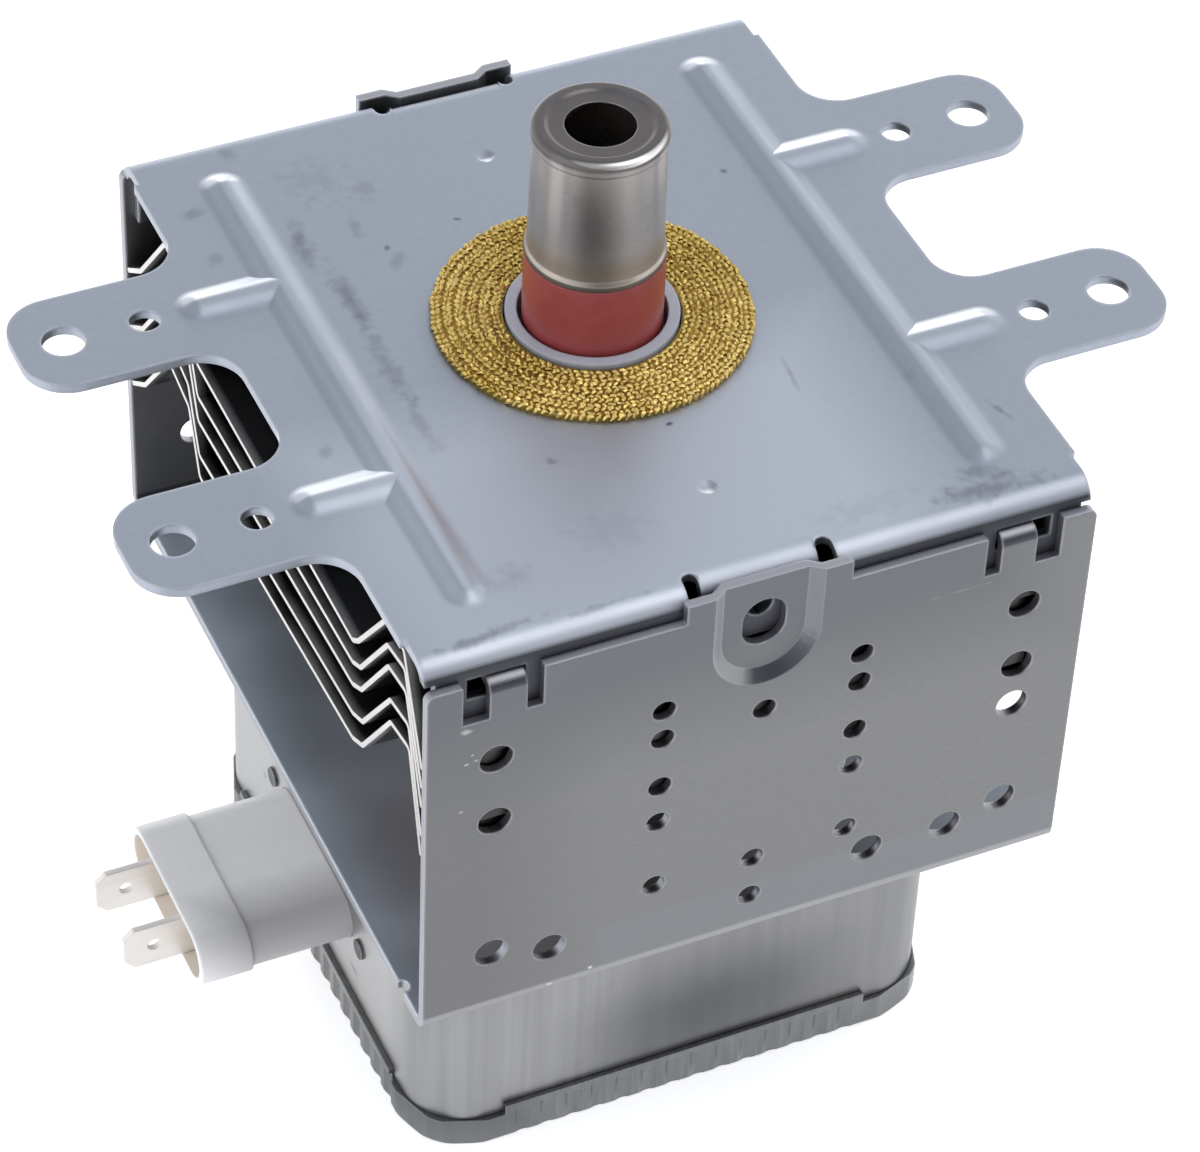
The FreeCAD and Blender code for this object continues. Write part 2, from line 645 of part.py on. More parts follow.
def fin_path(index):
    """Return the (y, z) creases of one fin from its front end to its back end."""
    back = FIN_BACK_Z[index]
    front = [FIN_SHELF[index], FIN_PEAK[index], FIN_FOOT[index], (FIN_FLAT_IN, FIN_FRONT_Z[index])]
    rear = [(FIN_BACK_IN, 0), FIN_KNEE, FIN_BACK_PEAK, FIN_DIP]
    creases = [(-FIN_END_Y, FIN_TAIL_Z[index])]
    creases += [(inward - YOKE_HALF_Y, z) for inward, z in front]
    creases += [(YOKE_HALF_Y - inward, back + rise) for inward, rise in rear]
    return creases + [(FIN_END_Y, back + FIN_END_RISE)]


def cooling_fin(index):
    """Return one bent fin with its round collar on the anode."""
    fin = bent_strip(fin_path(index), FIN_SHEET, FIN_BEND, FIN_HALF_X)
    middle = (FIN_FRONT_Z[index] + FIN_BACK_Z[index]) / 2
    low = middle - FIN_COLLAR_DOWN
    high = middle + FIN_COLLAR_UP
    bore_r = ANODE_R + FIT
    fin = fin.fuse(disc(bore_r + FIN_SHEET, low, high))
    fin = fin.cut(disc(bore_r, low - 2 * FIN_SHEET, high + 2 * FIN_SHEET))
    if index == len(FIN_TAIL_Z) - 1:
        half = FIN_NOTCH_HALF_X
        fin = fin.cut(box(-half, half, -YOKE_HALF_Y, FIN_NOTCH_IN - YOKE_HALF_Y, -BEYOND, 0))
    return fin.removeSplitter()


def vane_groove(index, which, top_z):
    """Return the ring cut out of a vane for one strap ring, whose outer face is at top_z."""
    touching = (index + which) % 2 == 0
    margin = FIT if touching else STRAP_MARGIN
    depth = STRAP_HEIGHT if touching else STRAP_HEIGHT + STRAP_MARGIN
    radius = STRAP_RADII[which]
    upward = 1 if top_z > ANODE_MID_Z else -1
    levels = sorted((top_z + upward, top_z - upward * depth))
    return ring(radius + STRAP_WALL / 2 + margin, radius - STRAP_WALL / 2 - margin, *levels)


def anode_vane(index):
    """Return one radial vane with strap grooves in its upper and lower edge."""
    half = VANE_THICKNESS / 2
    vane = box(VANE_TIP_R, ANODE_R, -half, half, VANE_BOTTOM_Z, VANE_TOP_Z)
    vane = vane.common(disc(ANODE_BORE_R, VANE_BOTTOM_Z - 1, VANE_TOP_Z + 1))
    grooves = [vane_groove(index, which, VANE_TOP_Z) for which in range(len(STRAP_RADII))]
    grooves += [vane_groove(index + 1, which, VANE_BOTTOM_Z) for which in range(len(STRAP_RADII))]
    vane = vane.cut(joined(grooves))
    vane.rotate(Vector(0, 0, 0), Vector(0, 0, 1), index * 360 / VANE_COUNT)
    return vane


def strap_ring(which, bottom_z):
    """Return one strap ring standing at the given height."""
    radius = STRAP_RADII[which]
    return ring(radius + STRAP_WALL / 2, radius - STRAP_WALL / 2, bottom_z, bottom_z + STRAP_HEIGHT)


def anode_cylinder():
    """Return the anode's wall with a seat for a pole piece at both ends."""
    wall = ring(ANODE_R, ANODE_BORE_R, ANODE_BOTTOM_Z, ANODE_TOP_Z)
    seat_r = POLE_R + FIT
    upper_seat = disc(seat_r, ANODE_TOP_Z - POLE_SHEET, ANODE_TOP_Z + 1)
    lower_seat = disc(seat_r, ANODE_BOTTOM_Z - 1, ANODE_BOTTOM_Z + POLE_SHEET)
    return wall.cut(upper_seat).cut(lower_seat)


def pole_piece():
    """Return the upper pole piece: a dish with a central mouth and the lead's hole."""
    top = ANODE_TOP_Z
    dish = turned([
        (POLE_R, top), (POLE_FLAT_R, top), (POLE_MOUTH_R, top - POLE_DEPTH),
        (POLE_MOUTH_R, top - POLE_DEPTH - POLE_SHEET), (POLE_FLAT_R - POLE_SHEET / 2, top - POLE_SHEET),
        (POLE_R, top - POLE_SHEET),
    ])
    hole = disc(POLE_LEAD_HOLE_R, top - POLE_DEPTH - POLE_SHEET, top + 1, LEAD_VANE_R)
    return dish.cut(hole)


def at_other_end(shape):
    """Return the mirror image of a piece at the other end of the anode."""
    return shape.mirror(Vector(0, 0, ANODE_MID_Z), Vector(0, 0, 1))


def output_seal_sleeve():
    """Return the sleeve that carries the output ceramic through the upper magnet."""
    wall_r = SLEEVE_R - SLEEVE_SHEET
    fold_r = SLEEVE_LIP_R + SLEEVE_SHEET
    foot = ANODE_TOP_Z
    return turned([
        (SLEEVE_FLANGE_R, foot), (SLEEVE_FLANGE_R, foot + SLEEVE_SHEET), (SLEEVE_R, foot + SLEEVE_SHEET),
        (SLEEVE_R, SLEEVE_TOP_Z), (SLEEVE_LIP_R, SLEEVE_TOP_Z), (SLEEVE_LIP_R, SLEEVE_LEDGE_Z),
        (SLEEVE_LEDGE_R, SLEEVE_LEDGE_Z), (SLEEVE_LEDGE_R, SLEEVE_LEDGE_Z - SLEEVE_SHEET),
        (fold_r, SLEEVE_LEDGE_Z - SLEEVE_SHEET), (fold_r, SLEEVE_TOP_Z - SLEEVE_SHEET),
        (wall_r, SLEEVE_TOP_Z - SLEEVE_SHEET), (wall_r, foot),
    ])


def input_seal_sleeve():
    """Return the sleeve that carries the stem through the lower magnet."""
    foot = ANODE_BOTTOM_Z
    return turned([
        (SLEEVE_FLANGE_R, foot), (SLEEVE_R - SLEEVE_SHEET, foot), (SLEEVE_R - SLEEVE_SHEET, STEM_TOP_Z),
        (SLEEVE_R, STEM_TOP_Z), (SLEEVE_R, foot - SLEEVE_SHEET), (SLEEVE_FLANGE_R, foot - SLEEVE_SHEET),
    ])


def antenna_cap():
    """Return the tapered steel cap with a flared rim, a rounded shoulder and an open top."""
    z0 = CERAMIC_TOP_Z
    top = CAP_TOP_Z
    bead_r = CAP_TOP_R + CAP_BEAD
    bead_z = top - CAP_BEAD_HEIGHT
    dish_z = top - CAP_DISH_DEPTH
    cap = turned([
        (CAP_FOOT_R - CAP_WALL, z0), (CAP_RIM_R, z0), (CAP_RIM_R, z0 + CAP_RIM_HEIGHT),
        (CAP_FOOT_R, z0 + CAP_RIM_HEIGHT + CAP_FLARE), (CAP_TOP_R, bead_z - CAP_BEAD), (bead_r, bead_z),
        (bead_r, top), (CAP_DISH_R, top), (CAP_DISH_R - CAP_DISH_WALL, dish_z), (CAP_HOLE_R, dish_z),
        (CAP_HOLE_R, dish_z - CAP_WALL), (CAP_TOP_R - CAP_WALL, dish_z - CAP_WALL),
    ])
    shoulder = [edge for edge in level_edges(cap, top) if edge.BoundBox.XMax > bead_r - FIT]
    return cap.makeFillet(CAP_ROUND, shoulder)


def exhaust_tube():
    """Return the pump tube on its flange, flattened where it was pinched off."""
    z0 = CERAMIC_TOP_Z
    z1 = EXHAUST_TUBE_TOP_Z
    bore_r = EXHAUST_BORE_R
    tube = turned([
        (bore_r, z0), (EXHAUST_FLANGE_R, z0), (EXHAUST_FLANGE_R, z0 + CAP_WALL),
        (EXHAUST_R, z0 + CAP_WALL), (EXHAUST_R, z1), (bore_r, z1),
    ])
    round_end = Part.Wire([Part.Circle(Vector(0, 0, z1), Vector(0, 0, 1), EXHAUST_R).toShape()])
    flat = Part.Ellipse(Vector(0, 0, EXHAUST_PINCH_TOP_Z), EXHAUST_PINCH_HALF_X, EXHAUST_PINCH_HALF_Y)
    pinch = Part.makeLoft([round_end, Part.Wire([flat.toShape()])], True)
    return tube.fuse(pinch)


def wire_along(route, radius):
    """Return a round wire whose centre follows the route."""
    spine = Part.Wire(route)
    start = route[0].Vertexes[0].Point
    heading = route[0].tangentAt(route[0].FirstParameter)
    section = Part.Wire([Part.Circle(start, heading, radius).toShape()])
    return spine.makePipeShell([section], True, True)


def antenna_lead():
    """Return the rod from a vane through the pole piece to the pinched tube."""
    points = [Vector(LEAD_VANE_R, 0, VANE_TOP_Z), Vector(LEAD_VANE_R, 0, LEAD_TURN_Z),
              Vector(0, 0, LEAD_AXIS_Z), Vector(0, 0, EXHAUST_TUBE_TOP_Z)]
    return wire_along(rounded_route(points, LEAD_BEND), LEAD_R)


def coil_wire(radius, pitch, turns, wire_r):
    """Return a helix of many-sided wire that starts on +X and climbs from z = 0."""
    spine = Part.Wire(Part.makeHelix(pitch, pitch * turns, radius))
    start = Vector(radius, 0, 0)
    across = Vector(1, 0, 0)
    upright = Vector(0, 2 * math.pi * radius, pitch).normalize().cross(across)
    corners = []
    for index in range(WIRE_SIDES + 1):
        angle = 2 * math.pi * (index + 0.5) / WIRE_SIDES
        corners.append(start + across * (wire_r * math.cos(angle)) + upright * (wire_r * math.sin(angle)))
    return spine.makePipeShell([Part.makePolygon(corners)], True, True)


def cathode_filament():
    """Return the heater helix between the two end hats."""
    low = LOWER_HAT_Z + HAT_THICKNESS + FILAMENT_WIRE_R + FIT
    height = UPPER_HAT_Z - FILAMENT_WIRE_R - FIT - low
    helix = coil_wire(FILAMENT_R, height / FILAMENT_TURNS, FILAMENT_TURNS, FILAMENT_WIRE_R)
    helix.translate(Vector(0, 0, low))
    return helix


def end_hat(z0, hole_r):
    """Return one end hat of the cathode."""
    return ring(HAT_R, hole_r, z0, z0 + HAT_THICKNESS)


def stem_ceramic():
    """Return the ceramic of the stem with holes for both leads."""
    body = disc(STEM_R, STEM_BOTTOM_Z, STEM_TOP_Z)
    holes = [disc(CATHODE_LEAD_R + FIT, STEM_BOTTOM_Z - 1, STEM_TOP_Z + 1, 0, y) for y in (0, SIDE_LEAD_Y)]
    return body.cut(joined(holes))


def stem_terminal(which):
    """Return one L-shaped terminal under the stem, its foot round one lead."""
    z1 = STEM_BOTTOM_Z
    z0 = z1 - TERMINAL_SHEET
    split = TERMINAL_FOOT_SPLIT_Y
    if which == 1:
        outside = TAB_YS[1] + TAB_SHEET / 2
        foot = box(-TERMINAL_HALF_X, TERMINAL_HALF_X, split + TERMINAL_FOOT_GAP / 2, outside, z0, z1)
    else:
        outside = TAB_YS[0] - TAB_SHEET / 2
        foot = box(-TERMINAL_HALF_X, TERMINAL_HALF_X, outside, split - TERMINAL_FOOT_GAP / 2, z0, z1)
    blade_ys = sorted((outside, outside - math.copysign(TAB_SHEET, outside)))
    blade = box(-TERMINAL_HALF_X, TERMINAL_HALF_X, *blade_ys, z1 - TERMINAL_LENGTH, z1)
    lead_y = 0 if which == 1 else SIDE_LEAD_Y
    return foot.fuse(blade).cut(disc(CATHODE_LEAD_R + FIT, z0 - 1, z1 + 1, 0, lead_y)).removeSplitter()


def lid_groove_spots():
    """Return (x, y) of the grooves pressed into the lid's rim, for one quarter."""
    out = LID_GROOVE_R - LID_GROOVE_DEPTH + LID_SHEET + FIT
    spots = []
    for half, across in ((BOX_HALF_X, BOX_HALF_Y), (BOX_HALF_Y, BOX_HALF_X)):
        count = int((half - BOX_CORNER) / LID_GROOVE_PITCH)
        along = [(step + 0.5) * LID_GROOVE_PITCH for step in range(count)]
        spots.append([(a, across + out) for a in along])
    return spots[0] + [(y, x) for x, y in spots[1]]


def filter_box():
    """Return the drawn steel box under the yoke, open below."""
    z0 = BOX_FLOOR_Z
    body = rounded_slab(BOX_HALF_X, BOX_HALF_Y, BOX_CORNER, z0, YOKE_BOTTOM_Z)
    body = body.makeFillet(BOX_EDGE, level_edges(body, YOKE_BOTTOM_Z))
    inner = rounded_slab(BOX_HALF_X - BOX_SHEET, BOX_HALF_Y - BOX_SHEET, BOX_CORNER - BOX_SHEET,
                         z0 - 1, BOX_CEILING_Z)
    inner = inner.makeFillet(BOX_EDGE - BOX_SHEET, level_edges(inner, BOX_CEILING_Z))
    ceiling = (BOX_CEILING_Z - 1, YOKE_BOTTOM_Z + 1)
    holes = [disc(NECK_HOLE_R, *ceiling)]
    holes += four_ways(disc(RIVET_R + FIT, *ceiling, BOX_RIVET_X, BOX_RIVET_Y))
    holes.append(plug_barrel(FIT))
    holes += side_rivet_shanks(FIT)
    return body.cut(joined([inner] + holes))


def lid_facet(turn):
    """Return the cutter of one flat that the crimping tool leaves on a corner of the lid's rim."""
    out = BOX_CORNER + FIT + LID_FACET_WALL
    cutter = box(out, out + BOX_CORNER, -BOX_CORNER, BOX_CORNER, LID_BOTTOM_Z - 1, LID_RIM_TOP_Z + 1)
    cutter.rotate(Vector(0, 0, 0), Vector(0, 0, 1), turn)
    cutter.translate(Vector(BOX_HALF_X - BOX_CORNER, BOX_HALF_Y - BOX_CORNER, 0))
    return cutter


def filter_box_lid():
    """Return the lid whose grooved rim is crimped round the foot of the box."""
    half_x = BOX_HALF_X + FIT + LID_SHEET
    half_y = BOX_HALF_Y + FIT + LID_SHEET
    corner = BOX_CORNER + FIT + LID_SHEET
    lid = rounded_slab(half_x, half_y, corner, LID_BOTTOM_Z, LID_RIM_TOP_Z)
    lid = lid.makeFillet(LID_EDGE, level_edges(lid, LID_BOTTOM_Z))
    inside = rounded_slab(BOX_HALF_X + FIT, BOX_HALF_Y + FIT, BOX_CORNER + FIT, BOX_FLOOR_Z, 0)
    low_corner = box(BOX_HALF_X - LID_CORNER_REACH, BEYOND, BOX_HALF_Y - LID_CORNER_REACH, BEYOND,
                     LID_RIM_TOP_Z - LID_CORNER_DROP, 0)
    facets = [lid_facet(turn) for turn in (LID_FACET_TURN, 90 - LID_FACET_TURN)]
    grooves = [disc(LID_GROOVE_R, LID_BOTTOM_Z - 1, LID_GROOVE_TOP_Z, x, y) for x, y in lid_groove_spots()]
    cutters = [one for cutter in [low_corner] + facets + grooves for one in four_ways(cutter)]
    return lid.cut(joined([inside] + cutters))


def box_rivets():
    """Return the four rivets that join the box to the bottom of the yoke."""
    shank = disc(RIVET_R, BOX_CEILING_Z, YOKE_FLOOR_Z, BOX_RIVET_X, BOX_RIVET_Y)
    upper = disc(RIVET_HEAD_R, YOKE_FLOOR_Z, YOKE_FLOOR_Z + RIVET_HEAD, BOX_RIVET_X, BOX_RIVET_Y)
    lower = disc(RIVET_HEAD_R, BOX_CEILING_Z - RIVET_HEAD, BOX_CEILING_Z, BOX_RIVET_X, BOX_RIVET_Y)
    return Part.makeCompound(four_ways(joined([shank, upper, lower]).removeSplitter()))


def plug_barrel(gap):
    """Return the barrel of the connector as far as its inner block, with a gap around it."""
    return racetrack(PLUG_HALF_Y - PLUG_STEP + gap, PLUG_HALF_Z - PLUG_STEP + gap,
                     PLUG_END_X + PLUG_COLLAR_LENGTH, PLUG_BLOCK_X)


def connector_housing():
    """Return the moulded housing with collar, socket recess, barrel and inner block."""
    collar = racetrack(PLUG_HALF_Y, PLUG_HALF_Z, PLUG_END_X, PLUG_END_X + PLUG_COLLAR_LENGTH)
    collar = collar.makeFillet(PLUG_EDGE, [edge for edge in collar.Edges if edge.BoundBox.XLength < FIT])
    block = racetrack(PLUG_HALF_Y + PLUG_BLOCK_GROWTH, PLUG_HALF_Z + PLUG_BLOCK_GROWTH,
                      PLUG_BLOCK_X, PLUG_BACK_X)
    recess = racetrack(PLUG_HALF_Y - PLUG_END_RIM, PLUG_HALF_Z - PLUG_RIM, PLUG_END_X - 1, RECESS_FLOOR_X)
    half_z = TAB_STEM_WIDTH / 2 + FIT
    half_y = TAB_SHEET / 2 + FIT
    slots = [box(RECESS_FLOOR_X - 1, PLUG_BACK_X + 1, y - half_y, y + half_y,
                 PLUG_Z - half_z, PLUG_Z + half_z) for y in TAB_YS]
    return joined([collar, plug_barrel(0), block]).cut(joined([recess] + slots))


def terminal_tab(which):
    """Return one flat tab: chamfered blade outside, narrow stem through the housing."""
    y = TAB_YS[which]
    half_y = TAB_SHEET / 2
    half_z = TAB_WIDTH / 2
    cut = TAB_CHAMFER
    tip = TAB_TIP_X
    stem = TAB_STEM_WIDTH / 2
    end = PLUG_BACK_X + TAB_STEM_OUT
    outline = [(tip, half_z - cut), (tip + cut, half_z), (RECESS_FLOOR_X, half_z),
               (RECESS_FLOOR_X, stem), (end, stem), (end, -stem), (RECESS_FLOOR_X, -stem),
               (RECESS_FLOOR_X, -half_z), (tip + cut, -half_z), (tip, cut - half_z)]
    corners = [Vector(x, y - half_y, PLUG_Z + z) for x, z in outline]
    blade = Part.Face(Part.makePolygon(corners + corners[:1])).extrude(Vector(0, TAB_SHEET, 0))
    return blade.cut(pin_y(TAB_HOLE_R, y - 1, y + 1, TAB_HOLE_X, PLUG_Z))


def side_rivet_places():
    """Return (y, z) of the two rivets beside the connector."""
    return [(PLUG_Y + side * SIDE_RIVET_Y, PLUG_Z + side * SIDE_RIVET_DROP) for side in (-1, 1)]


def side_rivet_shanks(gap):
    """Return the shanks of both side rivets, with a gap around them."""
    return [pin_x(SIDE_RIVET_R + gap, BOX_FACE_X, PLUG_BLOCK_X, y, z) for y, z in side_rivet_places()]


def capacitor_flange():
    """Return the flange plate inside the box wall that holds the connector."""
    plate = box(BOX_INSIDE_X, PLUG_BLOCK_X, PLUG_Y - COLLAR_PLATE_HALF_Y, PLUG_Y + COLLAR_PLATE_HALF_Y,
                PLUG_Z - COLLAR_PLATE_HALF_Z, PLUG_Z + COLLAR_PLATE_HALF_Z)
    corners = [edge for edge in plate.Edges if edge.Length < 2 * COLLAR_PLATE_SHEET]
    plate = plate.makeFillet(COLLAR_PLATE_CORNER, corners)
    return plate.cut(joined([plug_barrel(FIT)] + side_rivet_shanks(FIT)))


def capacitor_rivets():
    """Return the two rivets through the flange plate and the box wall."""
    rivets = []
    for (y, z), shank in zip(side_rivet_places(), side_rivet_shanks(0)):
        outer = pin_x(SIDE_RIVET_HEAD_R, BOX_FACE_X - SIDE_RIVET_HEAD, BOX_FACE_X, y, z)
        inner = pin_x(SIDE_RIVET_HEAD_R, PLUG_BLOCK_X, PLUG_BLOCK_X + SIDE_RIVET_HEAD, y, z)
        rivets.append(joined([outer, shank, inner]).removeSplitter())
    return Part.makeCompound(rivets)


def choke_side(which):
    """Return the side of its tab on which a choke coil lies, -1 or 1."""
    return 2 * which - 1


def choke_coil(which):
    """Return one choke coil with straight legs beside its tab and its stem terminal."""
    side = choke_side(which)
    length = COIL_PITCH * COIL_TURNS
    coil = joined([
        coil_wire(COIL_R, COIL_PITCH, COIL_TURNS, COIL_WIRE_R),
        Part.makeSphere(COIL_WIRE_R, Vector(COIL_R, 0, 0)),
        Part.makeSphere(COIL_WIRE_R, Vector(COIL_R, 0, length)),
        disc(COIL_WIRE_R, -COIL_LEG_START, 0, COIL_R),
        disc(COIL_WIRE_R, length, length + COIL_LEG_END, COIL_R),
    ])
    coil.rotate(Vector(0, 0, 0), Vector(0, 0, 1), -90 * side)
    coil.rotate(Vector(0, 0, 0), Vector(0, 1, 0), 90)
    coil.translate(Vector(COIL_START_X, TAB_YS[which] + side * COIL_OFFSET, PLUG_Z))
    return coil


def ferrite_rod(which):
    """Return the ferrite rod inside a choke coil."""
    y = TAB_YS[which] + choke_side(which) * COIL_OFFSET
    end = COIL_START_X + COIL_PITCH * COIL_TURNS
    radius = COIL_R - COIL_WIRE_R - ROD_CLEARANCE
    return pin_x(radius, COIL_START_X - ROD_OVERHANG, end + ROD_OVERHANG, y, PLUG_Z)


def rf_gasket():
    """Return the flat ring that the braided gasket fills, with rounded edges."""
    body = ring(GASKET_R, NECK_HOLE_R, 0, GASKET_HEIGHT)
    return body.makeFillet(GASKET_ROUND, level_edges(body, GASKET_HEIGHT))


def pieces():
    """Return every piece of the magnetron by name."""
    named = {
        "mounting_plate": mounting_plate(),
        "yoke_frame": yoke_frame(),
        "upper_magnet": ring(MAGNET_R, MAGNET_BORE_R, UPPER_MAGNET_Z, PLATE_UNDER_Z),
        "lower_magnet": ring(MAGNET_R, MAGNET_BORE_R, YOKE_FLOOR_Z, LOWER_MAGNET_Z),
        "anode_cylinder": anode_cylinder(),
        "upper_pole_piece": pole_piece(),
        "lower_pole_piece": at_other_end(pole_piece()),
        "output_seal_sleeve": output_seal_sleeve(),
        "input_seal_sleeve": input_seal_sleeve(),
        "output_ceramic": ring(CERAMIC_R, CERAMIC_BORE_R, SLEEVE_LEDGE_Z, CERAMIC_TOP_Z),
        "antenna_cap": antenna_cap(),
        "exhaust_tube": exhaust_tube(),
        "antenna_lead": antenna_lead(),
        "cathode_filament": cathode_filament(),
        "upper_end_hat": end_hat(UPPER_HAT_Z, CATHODE_LEAD_R + FIT),
        "lower_end_hat": end_hat(LOWER_HAT_Z, CATHODE_LEAD_R + HAT_LEAD_CLEARANCE),
        "centre_lead": disc(CATHODE_LEAD_R, LEAD_END_Z, UPPER_HAT_Z + HAT_THICKNESS),
        "side_lead": disc(CATHODE_LEAD_R, LEAD_END_Z, LOWER_HAT_Z, 0, SIDE_LEAD_Y),
        "stem_ceramic": stem_ceramic(),
        "filter_box": filter_box(),
        "filter_box_lid": filter_box_lid(),
        "box_rivets": box_rivets(),
        "connector_housing": connector_housing(),
        "capacitor_flange": capacitor_flange(),
        "capacitor_rivets": capacitor_rivets(),
        "rf_gasket": rf_gasket(),
    }
    for index in range(len(FIN_TAIL_Z)):
        named[f"cooling_fin_{index + 1}"] = cooling_fin(index)
    for index in range(VANE_COUNT):
        named[f"anode_vane_{index + 1}"] = anode_vane(index)
    for which in range(len(STRAP_RADII)):
        named[f"upper_strap_ring_{which + 1}"] = strap_ring(which, VANE_TOP_Z - STRAP_HEIGHT)
        named[f"lower_strap_ring_{which + 1}"] = strap_ring(which, VANE_BOTTOM_Z)
    for which in range(len(TAB_YS)):
        named[f"stem_terminal_{which + 1}"] = stem_terminal(which)
        named[f"terminal_tab_{which + 1}"] = terminal_tab(which)
        named[f"choke_coil_{which + 1}"] = choke_coil(which)
        named[f"ferrite_rod_{which + 1}"] = ferrite_rod(which)
    return named


os.makedirs("parts", exist_ok=True)
for name, shape in pieces().items():
    shape.exportStep(f"parts/{name}.step")
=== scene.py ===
"""Magnetron of a microwave oven: its finishes, its fine pieces, the light and the camera.

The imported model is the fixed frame.  Everything here is in metres and in its axes: the origin is
on the antenna axis in the top face of the mounting plate, +Z runs up, +X along the front wall and
-Y towards the front wall of the yoke.
"""
import logging
import math
from dataclasses import dataclass
from enum import Enum
from typing import Any

import bpy
from mathutils import Euler, Matrix, Vector, noise

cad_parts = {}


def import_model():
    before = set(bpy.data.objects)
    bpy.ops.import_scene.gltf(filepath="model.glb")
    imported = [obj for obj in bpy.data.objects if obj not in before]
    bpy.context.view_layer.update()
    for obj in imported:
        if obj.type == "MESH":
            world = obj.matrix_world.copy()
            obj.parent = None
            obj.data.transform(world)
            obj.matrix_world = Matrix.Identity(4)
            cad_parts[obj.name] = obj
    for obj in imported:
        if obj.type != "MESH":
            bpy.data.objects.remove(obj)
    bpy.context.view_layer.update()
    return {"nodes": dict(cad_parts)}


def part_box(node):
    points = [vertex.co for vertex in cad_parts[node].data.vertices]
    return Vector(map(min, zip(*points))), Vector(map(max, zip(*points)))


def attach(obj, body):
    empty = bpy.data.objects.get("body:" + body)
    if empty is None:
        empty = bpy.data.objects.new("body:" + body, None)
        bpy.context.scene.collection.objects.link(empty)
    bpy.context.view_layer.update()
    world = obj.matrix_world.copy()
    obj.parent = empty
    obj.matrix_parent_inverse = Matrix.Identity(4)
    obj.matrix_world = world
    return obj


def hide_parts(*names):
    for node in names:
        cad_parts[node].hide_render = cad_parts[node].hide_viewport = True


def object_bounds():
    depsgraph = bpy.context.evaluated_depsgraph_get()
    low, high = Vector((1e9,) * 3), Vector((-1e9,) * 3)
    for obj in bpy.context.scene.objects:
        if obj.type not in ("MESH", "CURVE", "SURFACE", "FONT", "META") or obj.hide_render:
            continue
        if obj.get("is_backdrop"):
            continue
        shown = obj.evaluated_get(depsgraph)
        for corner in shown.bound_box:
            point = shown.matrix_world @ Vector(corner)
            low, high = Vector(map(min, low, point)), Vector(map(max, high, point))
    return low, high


LOG = logging.getLogger("magnetron")
MM = 0.001
BODY = "root"

Socket = bpy.types.NodeSocket
Triple = tuple[float, float, float]

TONE_LOW = 0.35
TONE_HIGH = 0.65
BUMP_DISTANCE = 0.1 * MM
MARK_DETAIL = 4.0
LEAN_SOFT = 0.5
FLAT_ANGLE = math.radians(35)


class Slot(Enum):
    """The material slots of the record that get a finish here."""

    PLATE = "plate_steel"
    YOKE = "yoke_steel"
    ALUMINIUM = "aluminium_sheet"
    FERRITE = "ferrite"
    COPPER = "copper"
    CERAMIC = "ceramic"
    CAP = "stainless_cap"
    CATHODE = "cathode_metal"
    BOX = "box_steel"
    PLASTIC = "connector_plastic"
    TABS = "tinned_brass"
    MESH = "gasket_mesh"
    TUBE = "tube_steel"


